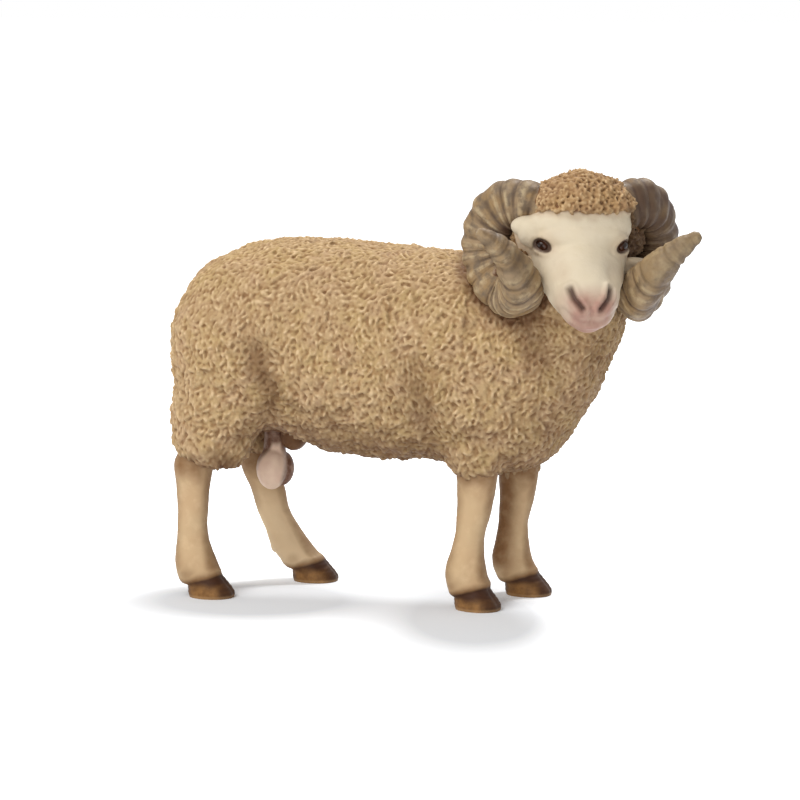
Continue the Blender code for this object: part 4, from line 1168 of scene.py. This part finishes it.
def scrotumSkin():
    # two lobes hang side by side from one neck
    rings = [ringOf(Vector((*bag["middle"], z)), alongX, alongY, half, half) for z, half in bag["neck"]]
    mesh = grownTogether([skinOver(rings)] + [ballOf(*lobe) for lobe in bag["lobes"]], bag)
    co = pointsOf(mesh)
    pushOut(mesh, 0.05*grainOf(co, 1.4, 41, 3))
    # painted shade darkens the far lobe and the neck, and leaves the near lobe pale where it narrows upwards
    across = np.abs((co[:, 0] + 21.5)*0.966 + (co[:, 1] - 0.74)*0.259 - 0.25*(co[:, 2] - 23))
    pale = ramp(2.9 - 2.2*ramp(co[:, 2], 23.0, 28.0) - across, -0.3, 0.9)*ramp(2.4 - co[:, 1], -0.3, 0.5)
    storeShares(mesh, wash=np.maximum(0.95*(1 - pale),
                                      0.95*ramp(co[:, 2] + 0.5*grainOf(co, 2.0, 42), 26.0, 28.0)))
    return mesh


# assembly
def buildRam():
    hornMeshes, hornLook = makeHorns()
    print("horns coiled")
    legMeshes = {name: legSkin(name) for name in legNames}
    print("legs shaped")
    earMeshes = {"right_ear": earSkin(-1), "left_ear": earSkin(1)}
    headMesh = headSkin()
    eyeMeshes = makeEyes(headMesh)
    tailMesh, bagMesh = tailSkin(), scrotumSkin()
    print("head, ears, tail and bag shaped")
    bodyMesh = torsoSkin()
    print("torso shaped:", len(bodyMesh.vertices), "points")

    # locks grow only where nothing else covers the skin
    co, coils = pointsOf(bodyMesh), [*hornMeshes.values()]
    clear = locks["clear"]
    bare = np.linalg.norm(co - np.array(torso["groin"][0]), axis=1) < clear["groin"]
    store(bodyMesh, "grow", (1 - bare)*clearOf(co, [*coils, headMesh, bagMesh], clear["fleece"])
          * clearOf(co, [tailMesh], clear["skin"])*clearOf(co, legMeshes.values(), clear["legs"]))
    co = pointsOf(headMesh)
    local = inHeadSpace(co)
    corner = (local[:, 1] < clear["corner"][0]) & (local @ upView > clear["corner"][1])
    woolly = (stored(headMesh, "wool") > 0.5) & ~corner
    store(headMesh, "grow", woolly*clearOf(co, [*coils, *earMeshes.values()], clear["poll"])
          * clearOf(co, [bodyMesh], clear["skin"]))
    store(tailMesh, "grow", clearOf(pointsOf(tailMesh), [bodyMesh], clear["skin"]))

    fleeceLook, pollLook = woolPaint("fleecePaint", **bodyPalette), woolPaint("pollPaint", **pollPalette)
    laying = fleeceTree()
    wool, level = growLocks(bodyMesh, laying, fleeceLook, locks["body"])
    storeShares(wool, wash=woolWashAndShade(wool, level))
    for k, slab in enumerate(slabsOf(wool, locks["cuts"])):
        print("fleece slab", k + 1, len(slab.polygons), "faces")
        place(f"fleece_{k + 1}", slab, fleeceLook, "torso")
    wool, _ = growLocks(tailMesh, laying, fleeceLook, locks["tail"])
    co = pointsOf(wool)
    # painted shade down the sides and at the lower end of the tail
    storeShares(wool, wash=0.5*ramp(np.abs(co[:, 1]), 2.2, 3.8) + 0.5*ramp(37 - co[:, 2], 0, 3))
    place("tail_fleece", wool, fleeceLook, "tail")
    wool, _ = growLocks(headMesh, laying, pollLook, locks["poll"])
    local = inHeadSpace(pointsOf(wool))
    # painted shade over the far temple beside the far horn, and along the lower edge of the fringe
    far = 0.9*ramp(local[:, 1] + 0.3*(local[:, 0] + 3), 6.8, 8.6)*ramp(7.5 - local @ upView, 0, 2.5)
    storeShares(wool, wash=np.maximum(far, 0.5*ramp(6.4 - local @ upView, 0, 1.8)))
    place("poll_curls", wool, pollLook, "head")
    print("poll", len(wool.polygons), "faces")
    print("locks laid")

    place("head_skin", withoutGrowth(headMesh), painted("facePaint", **facePaint), "head")
    eyeLook, earLook = painted("eyeGloss", **eyePaint), painted("earPaint", **earPaint)
    legLook = painted("legPaint", **legPaint)
    for name, mesh in eyeMeshes.items():
        place(name, mesh, eyeLook, "head")
    for ending, meshes, look in (("_coil", hornMeshes, hornLook), ("_leaf", earMeshes, earLook),
                                 ("_skin", legMeshes, legLook)):
        for name, mesh in meshes.items():
            place(name + ending, mesh, look, name)
    place("scrotum_bag", bagMesh, painted("bagPaint", **bagPaint), "scrotum")


buildRam()
print("ram assembled")


# floor, background and light
# The shadow is seen only inside two ovals, round the hind and the fore feet. Their middles and half sizes are
# in metres, across the view and away from the camera. Lamps are place, size, power and tint.
studio = {"floor": 4.0, "world": 0.4, "camera": 1.0,
          "ovals": (((-0.032, 0.0045, 0), (0.036, 0.028, 1)), ((0.0075, -0.0116, 0), (0.0235, 0.045, 1))),
          "lamps": {"key": ((-230, -320, 500), 360, 1.9, (1.0, 0.985, 0.96)),
                    "fill": ((60, -560, 90), 380, 1.0, (1.0, 0.98, 0.95)),
                    "back": ((90, 290, 520), 130, 1.7, (1.0, 0.99, 0.98))}}


def seenByCamera(tree):
    # 1 for what the camera sees, straight on, mirrored or through glass
    rays = add(tree, "ShaderNodeLightPath").outputs
    return plus(tree, plus(tree, rays["Is Camera Ray"], rays["Is Glossy Ray"]), rays["Is Transmission Ray"])


def makeFloor():
    bm = opened()
    bmesh.ops.create_grid(bm, x_segments=8, y_segments=8, size=studio["floor"])
    mesh = written(bm)
    material, tree, shader = shaderOf("paleFloor")
    tone = spread(tree, objectNoise(tree, 40.0, 2.0), 0.3, 0.7)
    tone = tinted(tree, tone, (0.83, 0.86, 0.9, 1), (0.85, 0.88, 0.92, 1))
    place = add(tree, "ShaderNodeTexCoord").outputs["Object"]
    place = add(tree, "ShaderNodeMapping",
                {"Vector": place, "Rotation": (0, 0, -math.radians(camera["turn"]))}).outputs[0]
    glow = 1.0
    for middle, half in studio["ovals"]:
        away = add(tree, "ShaderNodeVectorMath", {0: place, 1: middle}, operation="SUBTRACT").outputs[0]
        away = add(tree, "ShaderNodeVectorMath", {0: away, 1: half}, operation="DIVIDE").outputs[0]
        away = add(tree, "ShaderNodeVectorMath", {0: away}, operation="LENGTH").outputs["Value"]
        glow = times(tree, glow, spread(tree, away, 0.45, 1.15, 0.05, 1.0))
    plug(tree, shader, {"Base Color": tone, "Roughness": 0.9, "Specular IOR Level": 0.0,
                        "Emission Color": (1, 1, 1, 1), "Emission Strength": times(tree, seenByCamera(tree), glow)})
    mesh.materials.append(material)
    floor = linked("floor", mesh)


def makeLight():
    middle = toFrame @ Vector((0, 0, 35))
    for name, (where, size, power, tint) in studio["lamps"].items():
        lamp = bpy.data.lights.new(name, "AREA")
        lamp.shape, lamp.size, lamp.energy, lamp.color = "DISK", size*mm, power, tint
        spot = toFrame @ Vector(where)
        linked(name, lamp).matrix_world = aimed(spot, spot - middle)
    world = bpy.data.worlds.new("studio")
    world.use_nodes = True
    tree = world.node_tree
    tree.nodes.clear()
    strength = spread(tree, seenByCamera(tree), 0, 1, studio["world"], studio["camera"])
    background = add(tree, "ShaderNodeBackground", {"Color": (1, 1, 1, 1), "Strength": strength})
    out = add(tree, "ShaderNodeOutputWorld", {"Surface": background.outputs[0]})
    out.is_active_output = True
    bpy.context.scene.world = world
    bpy.context.scene.view_settings.view_transform = "Standard"


makeFloor()
makeLight()
print("studio set")
